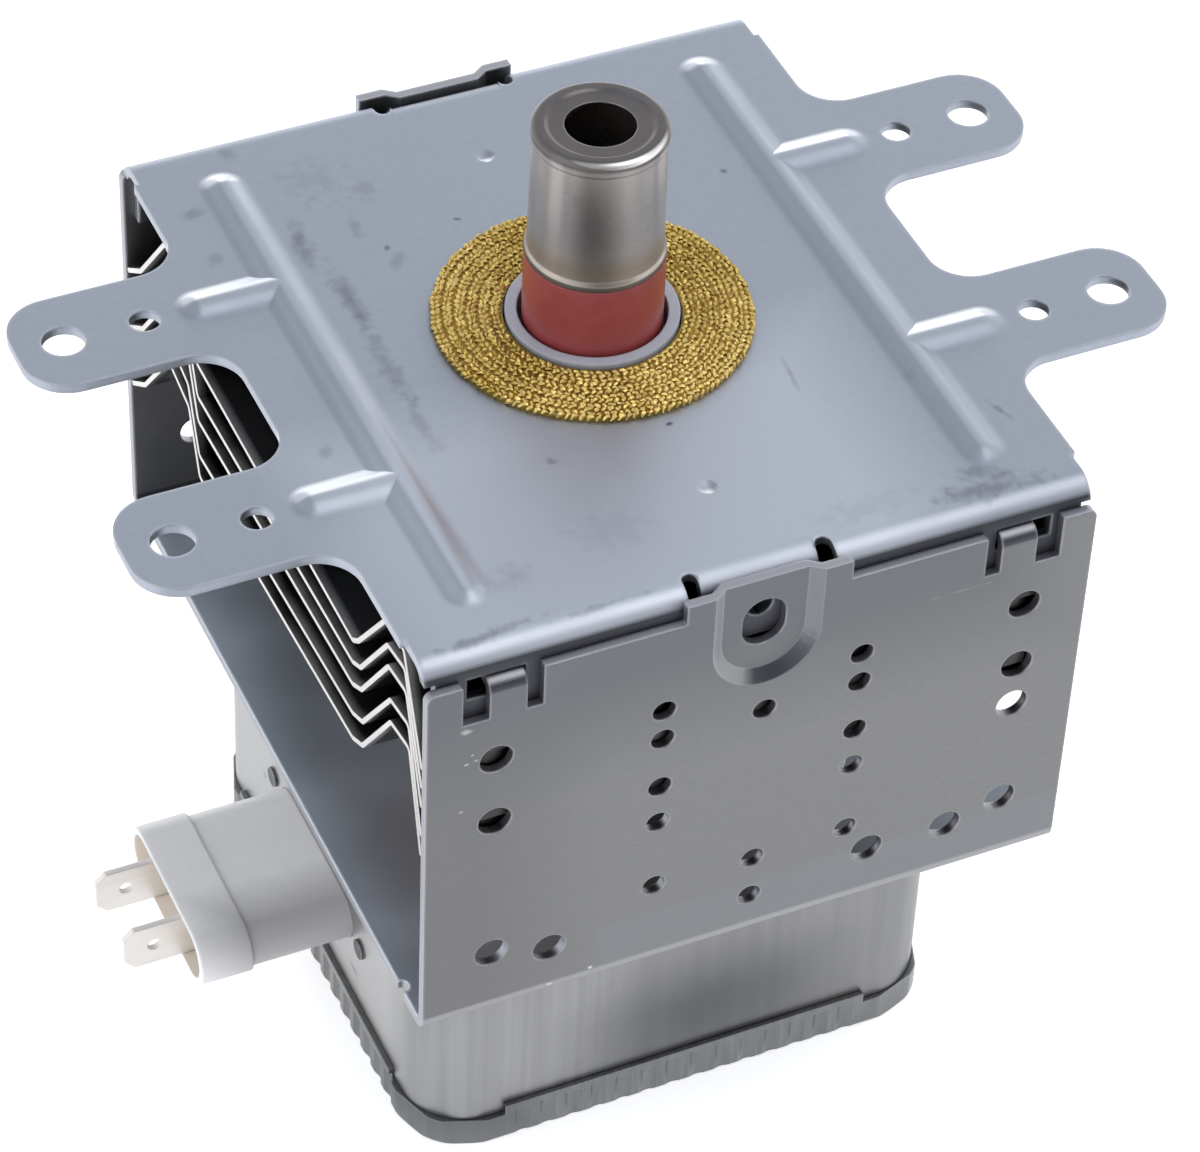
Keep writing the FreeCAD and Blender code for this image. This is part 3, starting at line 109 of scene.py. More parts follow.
class Tree:
    """A node tree that is filled with one call per node."""

    def __init__(self, tree: bpy.types.NodeTree) -> None:
        """Keep the tree that the calls fill."""
        self.tree = tree

    def put(self, into: Socket, value: Any) -> None:
        """Link a socket into an input, or set the input's own value.

        Args:
            into: the input socket.
            value: an output socket, a number or a row of numbers.
        """
        if isinstance(value, bpy.types.NodeSocket):
            self.tree.links.new(value, into)
        elif isinstance(value, (tuple, list)) and len(value) == 3 and into.type == "RGBA":
            into.default_value = (*value, 1.0)
        else:
            into.default_value = value

    def node(self, kind: str, inputs: dict[int | str, Any] | None = None, **settings: Any) -> bpy.types.Node:
        """Add one node.

        Args:
            kind: the node's type name.
            inputs: values or sockets by input name or number.
            settings: properties of the node.

        Returns:
            The new node.
        """
        made = self.tree.nodes.new(kind)
        for name, setting in settings.items():
            setattr(made, name, setting)
        for key, value in (inputs or {}).items():
            self.put(made.inputs[key], value)
        return made

    def math(self, operation: str, *values: Any, clamp: bool = False) -> Socket:
        """Add a Math node and return its result.

        Args:
            operation: the operation's name.
            values: its one to three inputs.
            clamp: whether the result is kept between 0 and 1.

        Returns:
            The result's socket.
        """
        made = self.node("ShaderNodeMath", dict(enumerate(values)), operation=operation, use_clamp=clamp)
        return made.outputs[0]

    def vector(self, operation: str, *values: Any) -> Socket:
        """Add a Vector Math node.

        Args:
            operation: the operation's name.
            values: its inputs.

        Returns:
            The number of a length or dot product, otherwise the vector.
        """
        made = self.node("ShaderNodeVectorMath", dict(enumerate(values)), operation=operation)
        return made.outputs["Value" if operation in ("LENGTH", "DOT_PRODUCT", "DISTANCE") else "Vector"]

    def span(self, value: Any, low: float, high: float, start: float = 0.0, end: float = 1.0) -> Socket:
        """Map a value smoothly from one span to another.

        Args:
            value: the value's socket.
            low: where the result starts.
            high: where the result ends.
            start: the result at low.
            end: the result at high.

        Returns:
            The mapped value's socket.
        """
        inputs = {"Value": value, "From Min": low, "From Max": high, "To Min": start, "To Max": end}
        made = self.node("ShaderNodeMapRange", inputs, interpolation_type="SMOOTHSTEP")
        return made.outputs[0]

    def mix(self, share: Any, first: Any, second: Any) -> Socket:
        """Mix two colours.

        Args:
            share: how much of the second shows.
            first: the first colour.
            second: the second colour.

        Returns:
            The mixed colour's socket.
        """
        made = self.node("ShaderNodeMix", data_type="RGBA")
        self.put(made.inputs[0], share)
        self.put(made.inputs[6], first)
        self.put(made.inputs[7], second)
        return made.outputs[2]

    def place(self) -> Socket:
        """Return the object coordinates."""
        return self.node("ShaderNodeTexCoord").outputs["Object"]

    def parts(self, vector: Socket) -> Any:
        """Return the three numbers of a vector."""
        return self.node("ShaderNodeSeparateXYZ", {0: vector}).outputs

    def effect(self, group: bpy.types.NodeTree, **inputs: Any) -> bpy.types.Node:
        """Place a shared effect.

        Args:
            group: the effect's node group.
            inputs: its values by input name, with _ for a space.

        Returns:
            The group's node.
        """
        made = self.node("ShaderNodeGroup", node_tree=group)
        for name, value in inputs.items():
            self.put(made.inputs[name.replace("_", " ")], value)
        return made


class Effects:
    """The shared effects, each a node group that puts out masks, values or normals."""

    spot_core = 0.0
    spot_rim = 1.1
    raggedness = 2.4
    lean_ramp = 0.16
    edge_start = 0.99
    edge_full = 0.85
    edge_samples = 6
    inward_limit = -0.2 * MM

    def __init__(self) -> None:
        """Build every effect once."""
        self.grain = self._grain()
        self.spot = self._spot()
        self.zone = self._zone()
        self.edge = self._edge()
        self.sheared = self._sheared()
        self.inward = self._inward()
        self.slope = self._slope()

    @staticmethod
    def _group(
        name: str, inputs: dict[str, tuple[str, Any]], outputs: dict[str, str]
    ) -> tuple[Tree, Any, Any]:
        """Start a node group.

        Args:
            name: the group's name.
            inputs: socket kind and default value by name.
            outputs: socket kind by name.

        Returns:
            The tree and its input and output nodes' sockets.
        """
        group = bpy.data.node_groups.new(name, "ShaderNodeTree")
        for label, (kind, default) in inputs.items():
            made = group.interface.new_socket(label, in_out="INPUT", socket_type=f"NodeSocket{kind}")
            made.default_value = default
        for label, kind in outputs.items():
            group.interface.new_socket(label, in_out="OUTPUT", socket_type=f"NodeSocket{kind}")
        tree = Tree(group)
        return tree, tree.node("NodeGroupInput").outputs, tree.node("NodeGroupOutput").inputs

    def _grain(self) -> bpy.types.NodeTree:
        """Build fine or coarse mottling, drawn out along an axis where Stretch says so.

        Returns:
            The group.
        """
        inputs = {
            "Stretch": ("Vector", (1.0, 1.0, 1.0)),
            "Scale": ("Float", 1000.0),
            "Detail": ("Float", 3.0),
        }
        tree, given, result = self._group("grain", inputs, {"Value": "Float"})
        stretched = tree.vector("MULTIPLY", tree.place(), given["Stretch"])
        settings = {"Vector": stretched, "Scale": given["Scale"], "Detail": given["Detail"]}
        tree.put(result["Value"], tree.node("ShaderNodeTexNoise", settings).outputs["Fac"])
        return tree.tree

    def _spot(self) -> bpy.types.NodeTree:
        """Build one mark round a centre, its edge made ragged by a mottling.

        Returns:
            The group.
        """
        inputs = {
            "Mottling": ("Float", 0.5),
            "Centre": ("Vector", (0.0, 0.0, 0.0)),
            "Turn": ("Float", 0.0),
            "Reach": ("Vector", (0.01, 0.01, 0.01)),
            "Ragged": ("Float", 0.5),
        }
        tree, given, result = self._group("spot", inputs, {"Mask": "Float"})
        away = tree.vector("SUBTRACT", tree.place(), given["Centre"])
        turning = {"Vector": away, "Angle": given["Turn"]}
        turned = tree.node("ShaderNodeVectorRotate", turning, rotation_type="Z_AXIS").outputs[0]
        far = tree.vector("LENGTH", tree.vector("DIVIDE", turned, given["Reach"]))
        rough = tree.math("MULTIPLY", tree.math("SUBTRACT", given["Mottling"], 0.5), given["Ragged"])
        edge = tree.math("ADD", far, tree.math("MULTIPLY", rough, self.raggedness))
        tree.put(result["Mask"], tree.span(edge, self.spot_core, self.spot_rim, 1.0, 0.0))
        return tree.tree

    def _zone(self) -> bpy.types.NodeTree:
        """Build the mask of a box with soft faces.

        Returns:
            The group.
        """
        inputs = {
            "Low": ("Vector", (0.0, 0.0, 0.0)),
            "High": ("Vector", (0.0, 0.0, 0.0)),
            "Soft": ("Float", 0.2 * MM),
        }
        tree, given, result = self._group("zone", inputs, {"Mask": "Float"})
        place = tree.place()
        low = tree.parts(tree.vector("SUBTRACT", place, given["Low"]))
        high = tree.parts(tree.vector("SUBTRACT", given["High"], place))
        inside = low[0]
        for side in (low[1], low[2], high[0], high[1], high[2]):
            inside = tree.math("MINIMUM", inside, side)
        tree.put(result["Mask"], tree.math("DIVIDE", inside, given["Soft"], clamp=True))
        return tree.tree

    def _edge(self) -> bpy.types.NodeTree:
        """Build the softened normal of sharp edges, and a mask of where they are.

        Returns:
            The group.
        """
        outputs = {"Normal": "Vector", "Mask": "Float"}
        tree, given, result = self._group("edge", {"Radius": ("Float", 0.3 * MM)}, outputs)
        bevel = tree.node("ShaderNodeBevel", {"Radius": given["Radius"]}, samples=self.edge_samples)
        soft = bevel.outputs[0]
        true = tree.node("ShaderNodeNewGeometry").outputs["Normal"]
        facing = tree.vector("DOT_PRODUCT", soft, true)
        tree.put(result["Normal"], soft)
        tree.put(result["Mask"], tree.span(facing, self.edge_start, self.edge_full))
        return tree.tree

    def _sheared(self) -> bpy.types.NodeTree:
        """Build the mask of a sheet's sheared faces: sideways ones, and upward ones above a height.

        Returns:
            The group.
        """
        tree, given, result = self._group("sheared", {"Above": ("Float", MM)}, {"Mask": "Float"})
        facing = tree.parts(tree.node("ShaderNodeNewGeometry").outputs["True Normal"])
        height = tree.parts(tree.place())[2]
        sideways = tree.span(tree.math("ABSOLUTE", facing[0]), 0.45, 0.8)
        high = tree.math("GREATER_THAN", height, given["Above"])
        upwards = tree.math("MULTIPLY", tree.span(facing[2], 0.6, 0.9), high)
        tree.put(result["Mask"], tree.math("MAXIMUM", sideways, upwards))
        return tree.tree

    def _inward(self) -> bpy.types.NodeTree:
        """Build the mask of the faces of a sleeve along X that look at its own axis.

        Returns:
            The group.
        """
        inputs = {"Axis": ("Vector", (0.0, 0.0, 0.0))}
        tree, given, result = self._group("inward", inputs, {"Mask": "Float"})
        across = (0.0, 1.0, 1.0)
        away = tree.vector("MULTIPLY", tree.vector("SUBTRACT", tree.place(), given["Axis"]), across)
        true = tree.node("ShaderNodeNewGeometry").outputs["True Normal"]
        facing = tree.vector("DOT_PRODUCT", true, away)
        tree.put(result["Mask"], tree.math("LESS_THAN", facing, self.inward_limit))
        return tree.tree

    def _slope(self) -> bpy.types.NodeTree:
        """Build the mask of faces that lean towards a direction, from a slight to a steep lean.

        Returns:
            The group.
        """
        inputs = {
            "Direction": ("Vector", (1.0, 0.0, 0.0)),
            "Slight": ("Float", 0.08),
            "Steep": ("Float", 0.7),
        }
        tree, given, result = self._group("slope", inputs, {"Mask": "Float"})
        normal = tree.node("ShaderNodeNewGeometry").outputs["Normal"]
        lean = tree.vector("DOT_PRODUCT", normal, given["Direction"])
        above = tree.math("SUBTRACT", lean, given["Slight"])
        below = tree.math("SUBTRACT", given["Steep"], lean)
        starts = tree.math("DIVIDE", above, self.lean_ramp, clamp=True)
        ends = tree.math("DIVIDE", below, self.lean_ramp, clamp=True)
        tree.put(result["Mask"], tree.math("MULTIPLY", starts, ends))
        return tree.tree


@dataclass(frozen=True)
class Mark:
    """A scuff, smudge or speck on a surface, or a patch of painted shade, in millimetres."""

    centre: Triple
    reach: Triple
    strength: float = 0.5
    turn: float = 0.0
    ragged: float = 0.5
    colour: Triple = (0.16, 0.17, 0.20)
    scale: float = 600.0


@dataclass(frozen=True)
class Patch:
    """A box-shaped region of another tone, in millimetres."""

    low: Triple
    high: Triple
    colour: Triple
    strength: float = 1.0
    soft: float = 1.0


@dataclass(frozen=True)
class PaintedLean:
    """Painted light and shade: another tone on the faces that lean towards a direction, as on the flanks of
    ribs.
    """

    towards: Triple
    colour: Triple
    strength: float = 0.6
    slight: float = 0.06
    steep: float = 0.75
    low: Triple = (-100.0, -100.0, -100.0)
    high: Triple = (100.0, 100.0, 100.0)


@dataclass(frozen=True)
class MetalFinish:
    """A metal surface with grain, streaks and marks, and a painted highlight along its sharp edges."""

    name: str
    colour: Triple
    second: Triple
    roughness: float = 0.42
    spread: float = 0.12
    metallic: float = 1.0
    stretch: Triple = (1.0, 1.0, 1.0)
    scale: float = 900.0
    cloud_scale: float = 70.0
    edge_radius: float = 0.0003
    edge_highlight_colour: Triple = (0.8, 0.8, 0.8)
    edge_highlight_share: float = 0.5
    bump: float = 0.05
    brushed: float = 0.0
    sheared_colour: Triple = (0.8, 0.8, 0.82)
    sheared_share: float = 0.0
    sheared_above: float = 1.0
    marks: tuple[Mark, ...] = ()
    patches: tuple[Patch, ...] = ()
    painted_leans: tuple[PaintedLean, ...] = ()

    def make(self, effects: Effects) -> bpy.types.Material:
        """Build the material.

        Args:
            effects: the shared effects.

        Returns:
            The material.
        """
        material, tree, shader = new_material(self.name)
        grain = tree.effect(effects.grain, Stretch=self.stretch, Scale=self.scale, Detail=3.0).outputs[0]
        cloud = tree.effect(effects.grain, Scale=self.cloud_scale, Detail=4.0).outputs[0]
        edge = tree.effect(effects.edge, Radius=self.edge_radius)
        tone = tree.math("ADD", tree.math("MULTIPLY", grain, 0.5), tree.math("MULTIPLY", cloud, 0.5))
        colour = tree.mix(tree.span(tone, TONE_LOW, TONE_HIGH), self.colour, self.second)
        for patch in self.patches:
            colour = add_patch(tree, effects, patch, colour)
        for lean in self.painted_leans:
            colour = add_painted_lean(tree, effects, lean, colour)
        colour = add_marks(tree, effects, self.marks, colour)
        if self.sheared_share > 0.0:
            sheared = tree.effect(effects.sheared, Above=MM * self.sheared_above).outputs[0]
            share = tree.math("MULTIPLY", sheared, self.sheared_share)
            colour = tree.mix(share, colour, self.sheared_colour)
        # Painted highlight: the sharp edges are made lighter where the bevel rounds them.
        edge_highlight = tree.math("MULTIPLY", edge.outputs["Mask"], self.edge_highlight_share)
        tree.put(shader.inputs["Base Color"], tree.mix(edge_highlight, colour, self.edge_highlight_colour))
        shader.inputs["Metallic"].default_value = self.metallic
        if self.brushed > 0.0:
            shader.inputs["Anisotropic"].default_value = self.brushed
            shader.inputs["Anisotropic Rotation"].default_value = 0.25
            around = tree.node("ShaderNodeTangent", direction_type="RADIAL", axis="Z")
            tree.put(shader.inputs["Tangent"], around.outputs[0])
        low, high = self.roughness - self.spread, self.roughness + self.spread
        tree.put(shader.inputs["Roughness"], tree.span(cloud, 0.3, 0.7, low, high))
        add_bump(tree, shader, self.bump, grain, edge.outputs["Normal"])
        return material


def new_material(name: str) -> tuple[bpy.types.Material, Tree, bpy.types.Node]:
    """Start a material with one Principled shader.

    Args:
        name: the material's name.

    Returns:
        The material, its tree and the shader node.
    """
    material = bpy.data.materials.new(name)
    material.use_nodes = True
    material.node_tree.nodes.clear()
    tree = Tree(material.node_tree)
    shader = tree.node("ShaderNodeBsdfPrincipled")
    output = tree.node("ShaderNodeOutputMaterial")
    tree.put(output.inputs["Surface"], shader.outputs[0])
    return material, tree, shader


def add_bump(tree: Tree, shader: bpy.types.Node, strength: float, height: Socket, normal: Socket) -> None:
    """Give a shader a fine relief over its softened edges.

    Args:
        tree: the material's tree.
        shader: the shader node.
        strength: the relief's strength.
        height: the relief.
        normal: the normal with softened edges.
    """
    relief = {"Strength": strength, "Distance": BUMP_DISTANCE, "Height": height, "Normal": normal}
    tree.put(shader.inputs["Normal"], tree.node("ShaderNodeBump", relief).outputs[0])


def in_metres(corner: Triple) -> Triple:
    """Return a point given in millimetres."""
    return tuple(MM * value for value in corner)


def add_marks(tree: Tree, effects: Effects, marks: tuple[Mark, ...], colour: Socket) -> Socket:
    """Lay the marks over a colour, one over the other.

    Args:
        tree: the material's tree.
        effects: the shared effects.
        marks: the marks.
        colour: the colour under them.

    Returns:
        The colour with the marks.
    """
    mottlings: dict[float, Socket] = {}
    for mark in marks:
        if mark.scale not in mottlings:
            mottling = tree.effect(effects.grain, Scale=mark.scale, Detail=MARK_DETAIL)
            mottlings[mark.scale] = mottling.outputs[0]
        spot = tree.effect(
            effects.spot,
            Mottling=mottlings[mark.scale],
            Centre=in_metres(mark.centre),
            Turn=math.radians(mark.turn),
            Reach=in_metres(mark.reach),
            Ragged=mark.ragged,
        )
        colour = tree.mix(tree.math("MULTIPLY", spot.outputs[0], mark.strength), colour, mark.colour)
    return colour


def add_painted_lean(tree: Tree, effects: Effects, lean: PaintedLean, colour: Socket) -> Socket:
    """Lay the painted light and shade of the faces that lean one way over a colour.

    Args:
        tree: the material's tree.
        effects: the shared effects.
        lean: the faces and their tone.
        colour: the colour under it.

    Returns:
        The colour with the tone.
    """
    given = {"Direction": lean.towards, "Slight": lean.slight, "Steep": lean.steep}
    slope = tree.effect(effects.slope, **given).outputs[0]
    low, high = in_metres(lean.low), in_metres(lean.high)
    within = tree.effect(effects.zone, Low=low, High=high, Soft=MM * LEAN_SOFT).outputs[0]
    share = tree.math("MULTIPLY", tree.math("MULTIPLY", slope, within), lean.strength)
    return tree.mix(share, colour, lean.colour)


def add_patch(tree: Tree, effects: Effects, patch: Patch, colour: Socket) -> Socket:
    """Lay one region's tone over a colour.

    Args:
        tree: the material's tree.
        effects: the shared effects.
        patch: the region.
        colour: the colour under it.

    Returns:
        The colour with the region's tone.
    """
    low, high = in_metres(patch.low), in_metres(patch.high)
    zone = tree.effect(effects.zone, Low=low, High=high, Soft=MM * patch.soft)
    return tree.mix(tree.math("MULTIPLY", zone.outputs[0], patch.strength), colour, patch.colour)


SPECK = (0.05, 0.05, 0.055)
PLATE_MARKS = (
    Mark((0.4, -20.1, 0.0), (0.6, 0.4, 0.8), 0.9, ragged=0.2, colour=SPECK),
    Mark((24.9, 18.2, 0.0), (0.6, 0.6, 0.8), 0.6, ragged=0.3, colour=SPECK),
    Mark((-7.6, 21.4, 0.0), (0.7, 0.35, 0.8), 0.6, 20.0, ragged=0.3, colour=SPECK),
    Mark((-17.1, 19.5, 0.0), (0.5, 0.7, 0.8), 0.6, 25.0, ragged=0.3, colour=SPECK),
    Mark((-16.6, 17.0, 0.0), (1.2, 2.2, 1.0), 0.3, 35.0, ragged=0.9),
    Mark((-31.1, 30.8, 0.0), (1.1, 1.1, 1.0), 0.35, ragged=0.8),
    Mark((-28.0, 42.5, 0.0), (1.4, 2.6, 1.0), 0.3, 20.0, ragged=0.9),
    Mark((-35.5, 33.2, 0.0), (2.0, 1.5, 1.0), 0.4, ragged=0.9),
    Mark((-36.1, 24.7, 0.0), (1.8, 1.5, 1.0), 0.3, ragged=0.9),
    Mark((-25.6, 26.1, 0.0), (1.2, 3.2, 1.0), 0.3, 8.0, ragged=1.0),
    Mark((-24.4, 12.5, 0.0), (1.5, 7.5, 1.0), 0.60, ragged=0.6),
    Mark((-24.7, 0.5, 0.0), (1.4, 8.5, 1.0), 0.42, ragged=0.9),
    Mark((-24.9, -9.5, 0.0), (1.2, 6.0, 1.0), 0.34, ragged=1.0),
    Mark((-26.2, 22.5, 0.0), (1.6, 4.5, 1.0), 0.50, 6.0, ragged=0.9),
    Mark((-21.0, 34.0, 0.0), (4.5, 5.0, 1.0), 0.16, 30.0, ragged=1.6),
    Mark((-15.4, 30.2, 0.0), (1.8, 3.0, 1.0), 0.25, 30.0, ragged=1.0),
    Mark((-19.0, 24.5, 0.0), (0.9, 2.6, 1.0), 0.3, 12.0, ragged=1.0),
    Mark((-36.6, -10.4, 0.0), (1.2, 1.2, 1.0), 0.3, ragged=0.8),
    Mark((0.3, 31.2, 0.0), (0.8, 0.8, 1.0), 0.3, ragged=0.6),
    Mark((-14.2, -20.7, 0.0), (1.0, 0.7, 1.0), 0.5, 30.0, ragged=0.9),
    Mark((-25.3, -36.3, 0.0), (3.0, 2.4, 1.0), 0.22, ragged=1.0),
    Mark((-12.7, -33.4, 0.0), (6.0, 4.0, 1.0), 0.12, ragged=1.0),
    Mark((-32.0, -43.6, 0.0), (7.0, 0.8, 1.0), 0.5, -4.0, ragged=1.2),
    Mark((-18.0, -43.8, 0.0), (6.0, 0.5, 1.0), 0.3, -2.0, ragged=1.2),
    Mark((14.1, -40.5, 0.0), (8.0, 2.2, 1.0), 0.12, 0.0, ragged=1.2),
    Mark((28.5, -42.6, 0.0), (8.0, 1.7, 1.0), 0.55, 2.0, ragged=1.1),
    Mark((28.7, -40.2, 0.0), (4.0, 1.5, 1.0), 0.45, 20.0, ragged=1.1),
    Mark((35.6, -31.6, 0.0), (0.5, 2.2, 1.0), 0.5, -20.0, ragged=0.9),
    Mark((16.5, -17.4, 0.0), (0.4, 5.0, 1.0), 0.35, 6.0, ragged=0.5),
    Mark((29.6, -22.5, 0.0), (2.0, 1.4, 1.0), 0.35, ragged=1.2),
)
WALL_FLECK = (0.85, 0.85, 0.83)
WALL_MARKS = (
    Mark((-19.3, -47.5, -52.9), (0.4, 0.6, 0.3), 0.7, ragged=0.4, colour=WALL_FLECK),
    Mark((-24.3, -47.5, -53.6), (0.5, 0.6, 0.25), 0.7, ragged=0.4, colour=WALL_FLECK),
    Mark((-35.1, -47.5, -14.2), (0.45, 0.6, 0.16), 0.6, ragged=0.5, colour=WALL_FLECK),
    Mark((-34.0, -47.5, -14.0), (0.3, 0.6, 0.14), 0.5, ragged=0.5, colour=WALL_FLECK),
    Mark((-34.4, -47.5, -13.0), (0.25, 0.6, 0.14), 0.5, ragged=0.5, colour=WALL_FLECK),
    Mark((-35.6, -47.5, -21.3), (0.4, 0.6, 0.3), 0.5, ragged=0.7, colour=(0.75, 0.68, 0.5)),
    Mark((-35.2, -47.5, -9.3), (0.8, 0.6, 0.45), 0.3, ragged=1.4, colour=WALL_FLECK),
    Mark((24.0, -47.5, -9.4), (5.5, 0.6, 0.12), 0.10, ragged=1.2, colour=WALL_FLECK),
)
# Painted shade on the filter box: a large dark patch over the middle of its front, a painted shadow under the
# connector's barrel and dark crescents round the rivets, with one small light dot by the barrel.
BOX_SHADE_MARKS = (
    Mark((3.0, -35.0, -81.5), (23.0, 9.0, 13.0), 0.85, ragged=0.12, colour=(0.10, 0.103, 0.11), scale=120.0),
    Mark((-33.8, -12.0, -83.6), (1.0, 1.9, 0.5), 0.75, ragged=0.3),
    Mark((-33.8, -13.5, -78.6), (1.0, 1.6, 0.5), 0.75, ragged=0.3),
    Mark((-33.8, -7.0, -83.0), (1.0, 1.3, 0.4), 0.6, ragged=0.4),
    Mark((-33.8, -9.8, -80.0), (1.0, 0.5, 0.5), 0.6, ragged=0.3, colour=(0.7, 0.6, 0.5)),
    Mark((-33.8, 17.8, -78.6), (1.0, 0.8, 0.8), 0.5, ragged=0.6),
)
# Painted light: the yoke's inner bottom made brighter and bluer than the walls.
INNER_BOTTOM_PAINTED_LIGHT = Patch((-41.0, -45.9, -54.6), (41.0, 45.9, -53.6), (0.80, 0.89, 1.0), 1.0, 0.2)
# From x = -19 mm on, the yoke's lower part keeps a plain dark tone, so the painted light of the inner bottom
# stays in its open left part.
INNER_DEPTH = Patch((-19.0, -49.0, -64.0), (60.0, 40.0, -46.0), (0.22, 0.235, 0.26), 0.9, 4.0)
FLANGE_SHADE = (
    Patch((-60.0, -50.0, -12.0), (60.0, -41.0, -1.3), (0.035, 0.035, 0.04), 0.92, 0.5),
    Patch((-60.0, 41.0, -12.0), (60.0, 50.0, -1.5), (0.16, 0.16, 0.17), 0.8, 0.8),
)
PLATE_GLEAM = Patch((-46.0, -70.0, -40.0), (28.0, -4.0, 40.0), (0.58, 0.61, 0.67), 0.6, 13.0)
RIB_GLEAM = Patch((-80.0, -60.0, 0.15), (80.0, 60.0, 4.0), (0.56, 0.59, 0.65), 0.25, 0.6)
BEND_GLEAM = Patch((-60.0, -46.1, -1.3), (60.0, -43.9, 0.4), (0.72, 0.74, 0.79), 0.45, 0.7)
WALL_SHADE = Patch((-70.0, -80.0, -24.0), (42.0, -20.0, 20.0), (0.145, 0.15, 0.16), 0.92, 17.0)
# Painted shade: the left part of the yoke's front wall made darker.
WALL_LEFT_SHADE = Patch((-90.0, -80.0, -90.0), (-18.0, -20.0, 30.0), (0.155, 0.155, 0.16), 0.6, 15.0)
# Painted highlight: a lighter strip along the foot of the front wall.
WALL_FOOT_HIGHLIGHT = Patch((-41.0, -49.0, -54.6), (41.0, -46.8, -53.0), (0.40, 0.40, 0.41), 0.6, 0.4)
FIN_SHADE = Patch((-39.2, -47.0, -52.0), (39.2, 47.0, 0.0), (0.045, 0.045, 0.044), 0.96, 0.8)

PLATE_FINISH = MetalFinish(
    name="plate_zinc",
    colour=(0.368, 0.397, 0.455),
    second=(0.388, 0.417, 0.475),
    roughness=0.50,
    spread=0.04,
    edge_radius=0.0006,
    cloud_scale=60.0,
    edge_highlight_colour=(0.75, 0.77, 0.8),
    edge_highlight_share=0.25,
    sheared_colour=(0.46, 0.48, 0.53),
    sheared_share=0.5,
    bump=0.02,
    marks=PLATE_MARKS,
    patches=(
        PLATE_GLEAM,
        *FLANGE_SHADE,
        BEND_GLEAM,
        RIB_GLEAM,
    ),
    # Painted highlight on faces that lean back, such as the cross ribs' back slopes; painted shade on faces
    # leaning towards -X and painted highlight on those towards +X.
    painted_leans=(
        PaintedLean(
            towards=(0.0, 1.0, 0.0),
            colour=(0.92, 0.94, 0.98),
            strength=0.85,
            slight=0.03,
            low=(-100.0, -43.0, -1.0),
            high=(100.0, 42.0, 1.5),
        ),
        PaintedLean((-1.0, 0.0, 0.0), (0.27, 0.295, 0.34), 0.55),
        PaintedLean((1.0, 0.0, 0.0), (0.42, 0.45, 0.51), 0.5),
    ),
)
# Painted shade on the yoke's faces that lean up or towards -X, and a painted highlight on those towards +X,
# as on the ramps round the ear's pad.
PAD_PAINTED_LIGHT_AND_SHADE = (
    PaintedLean((0.0, 0.0, 1.0), (0.07, 0.075, 0.09), 0.85, 0.1, 0.9),
    PaintedLean((-1.0, 0.0, 0.0), (0.10, 0.105, 0.12), 0.8, 0.1, 0.9),
    PaintedLean((1.0, 0.0, 0.0), (0.34, 0.34, 0.35), 0.8, 0.1, 0.9),
)
YOKE_FINISH = MetalFinish(
    name="yoke_zinc",
    colour=(0.200, 0.200, 0.202),
    second=(0.220, 0.220, 0.222),
    stretch=(0.35, 0.35, 1.0),
    scale=2400.0,
    roughness=0.47,
    spread=0.03,
    edge_radius=0.0005,
    edge_highlight_colour=(0.7, 0.7, 0.72),
    edge_highlight_share=0.25,
    sheared_colour=(0.42, 0.42, 0.46),
    sheared_share=0.85,
    sheared_above=-20.0,
    bump=0.035,
    marks=WALL_MARKS,
    patches=(WALL_LEFT_SHADE, WALL_SHADE, INNER_BOTTOM_PAINTED_LIGHT, INNER_DEPTH, WALL_FOOT_HIGHLIGHT),
    painted_leans=PAD_PAINTED_LIGHT_AND_SHADE,
)
FIN_FINISH = MetalFinish(
    name="fin_aluminium",
    colour=(0.56, 0.55, 0.54),
    second=(0.64, 0.63, 0.61),
    roughness=0.34,
    edge_radius=0.00012,
    edge_highlight_colour=(0.60, 0.58, 0.56),
    edge_highlight_share=0.3,
    sheared_colour=(0.62, 0.60, 0.58),
    sheared_share=0.95,
    patches=(FIN_SHADE,),
)
BOX_FINISH = MetalFinish(
    name="box_zinc",
    colour=(0.27, 0.27, 0.27),
    second=(0.34, 0.34, 0.34),
    stretch=(1.0, 1.0, 0.02),
    scale=650.0,
    cloud_scale=40.0,
    roughness=0.38,
    spread=0.05,
    edge_highlight_share=0.2,
    marks=BOX_SHADE_MARKS,
    patches=(
        # Painted shade over the right part of the box's front, and painted light on its left face.
        Patch((-14.0, -60.0, -110.0), (60.0, -10.0, -40.0), (0.19, 0.19, 0.195), 0.5, 9.0),
        Patch((-60.0, -29.0, -100.0), (-20.0, 60.0, -56.0), (0.50, 0.50, 0.50), 0.7, 7.0),
    ),
)
LID_FINISH = MetalFinish(
    name="lid_zinc",
    colour=(0.185, 0.19, 0.195),
    second=(0.235, 0.24, 0.24),
    stretch=(1.0, 1.0, 0.1),
    scale=900.0,
    roughness=0.38,
    edge_highlight_share=0.2,
    # Painted shade on the lid's front left corner.
    patches=(Patch((-60.0, -60.0, -95.0), (-18.0, -22.0, -80.0), (0.13, 0.135, 0.15), 0.7, 5.0),),
)
RIVET_FINISH = MetalFinish(
    name="rivet_dark",
    colour=(0.09, 0.09, 0.095),
    second=(0.14, 0.14, 0.14),
    roughness=0.5,
)
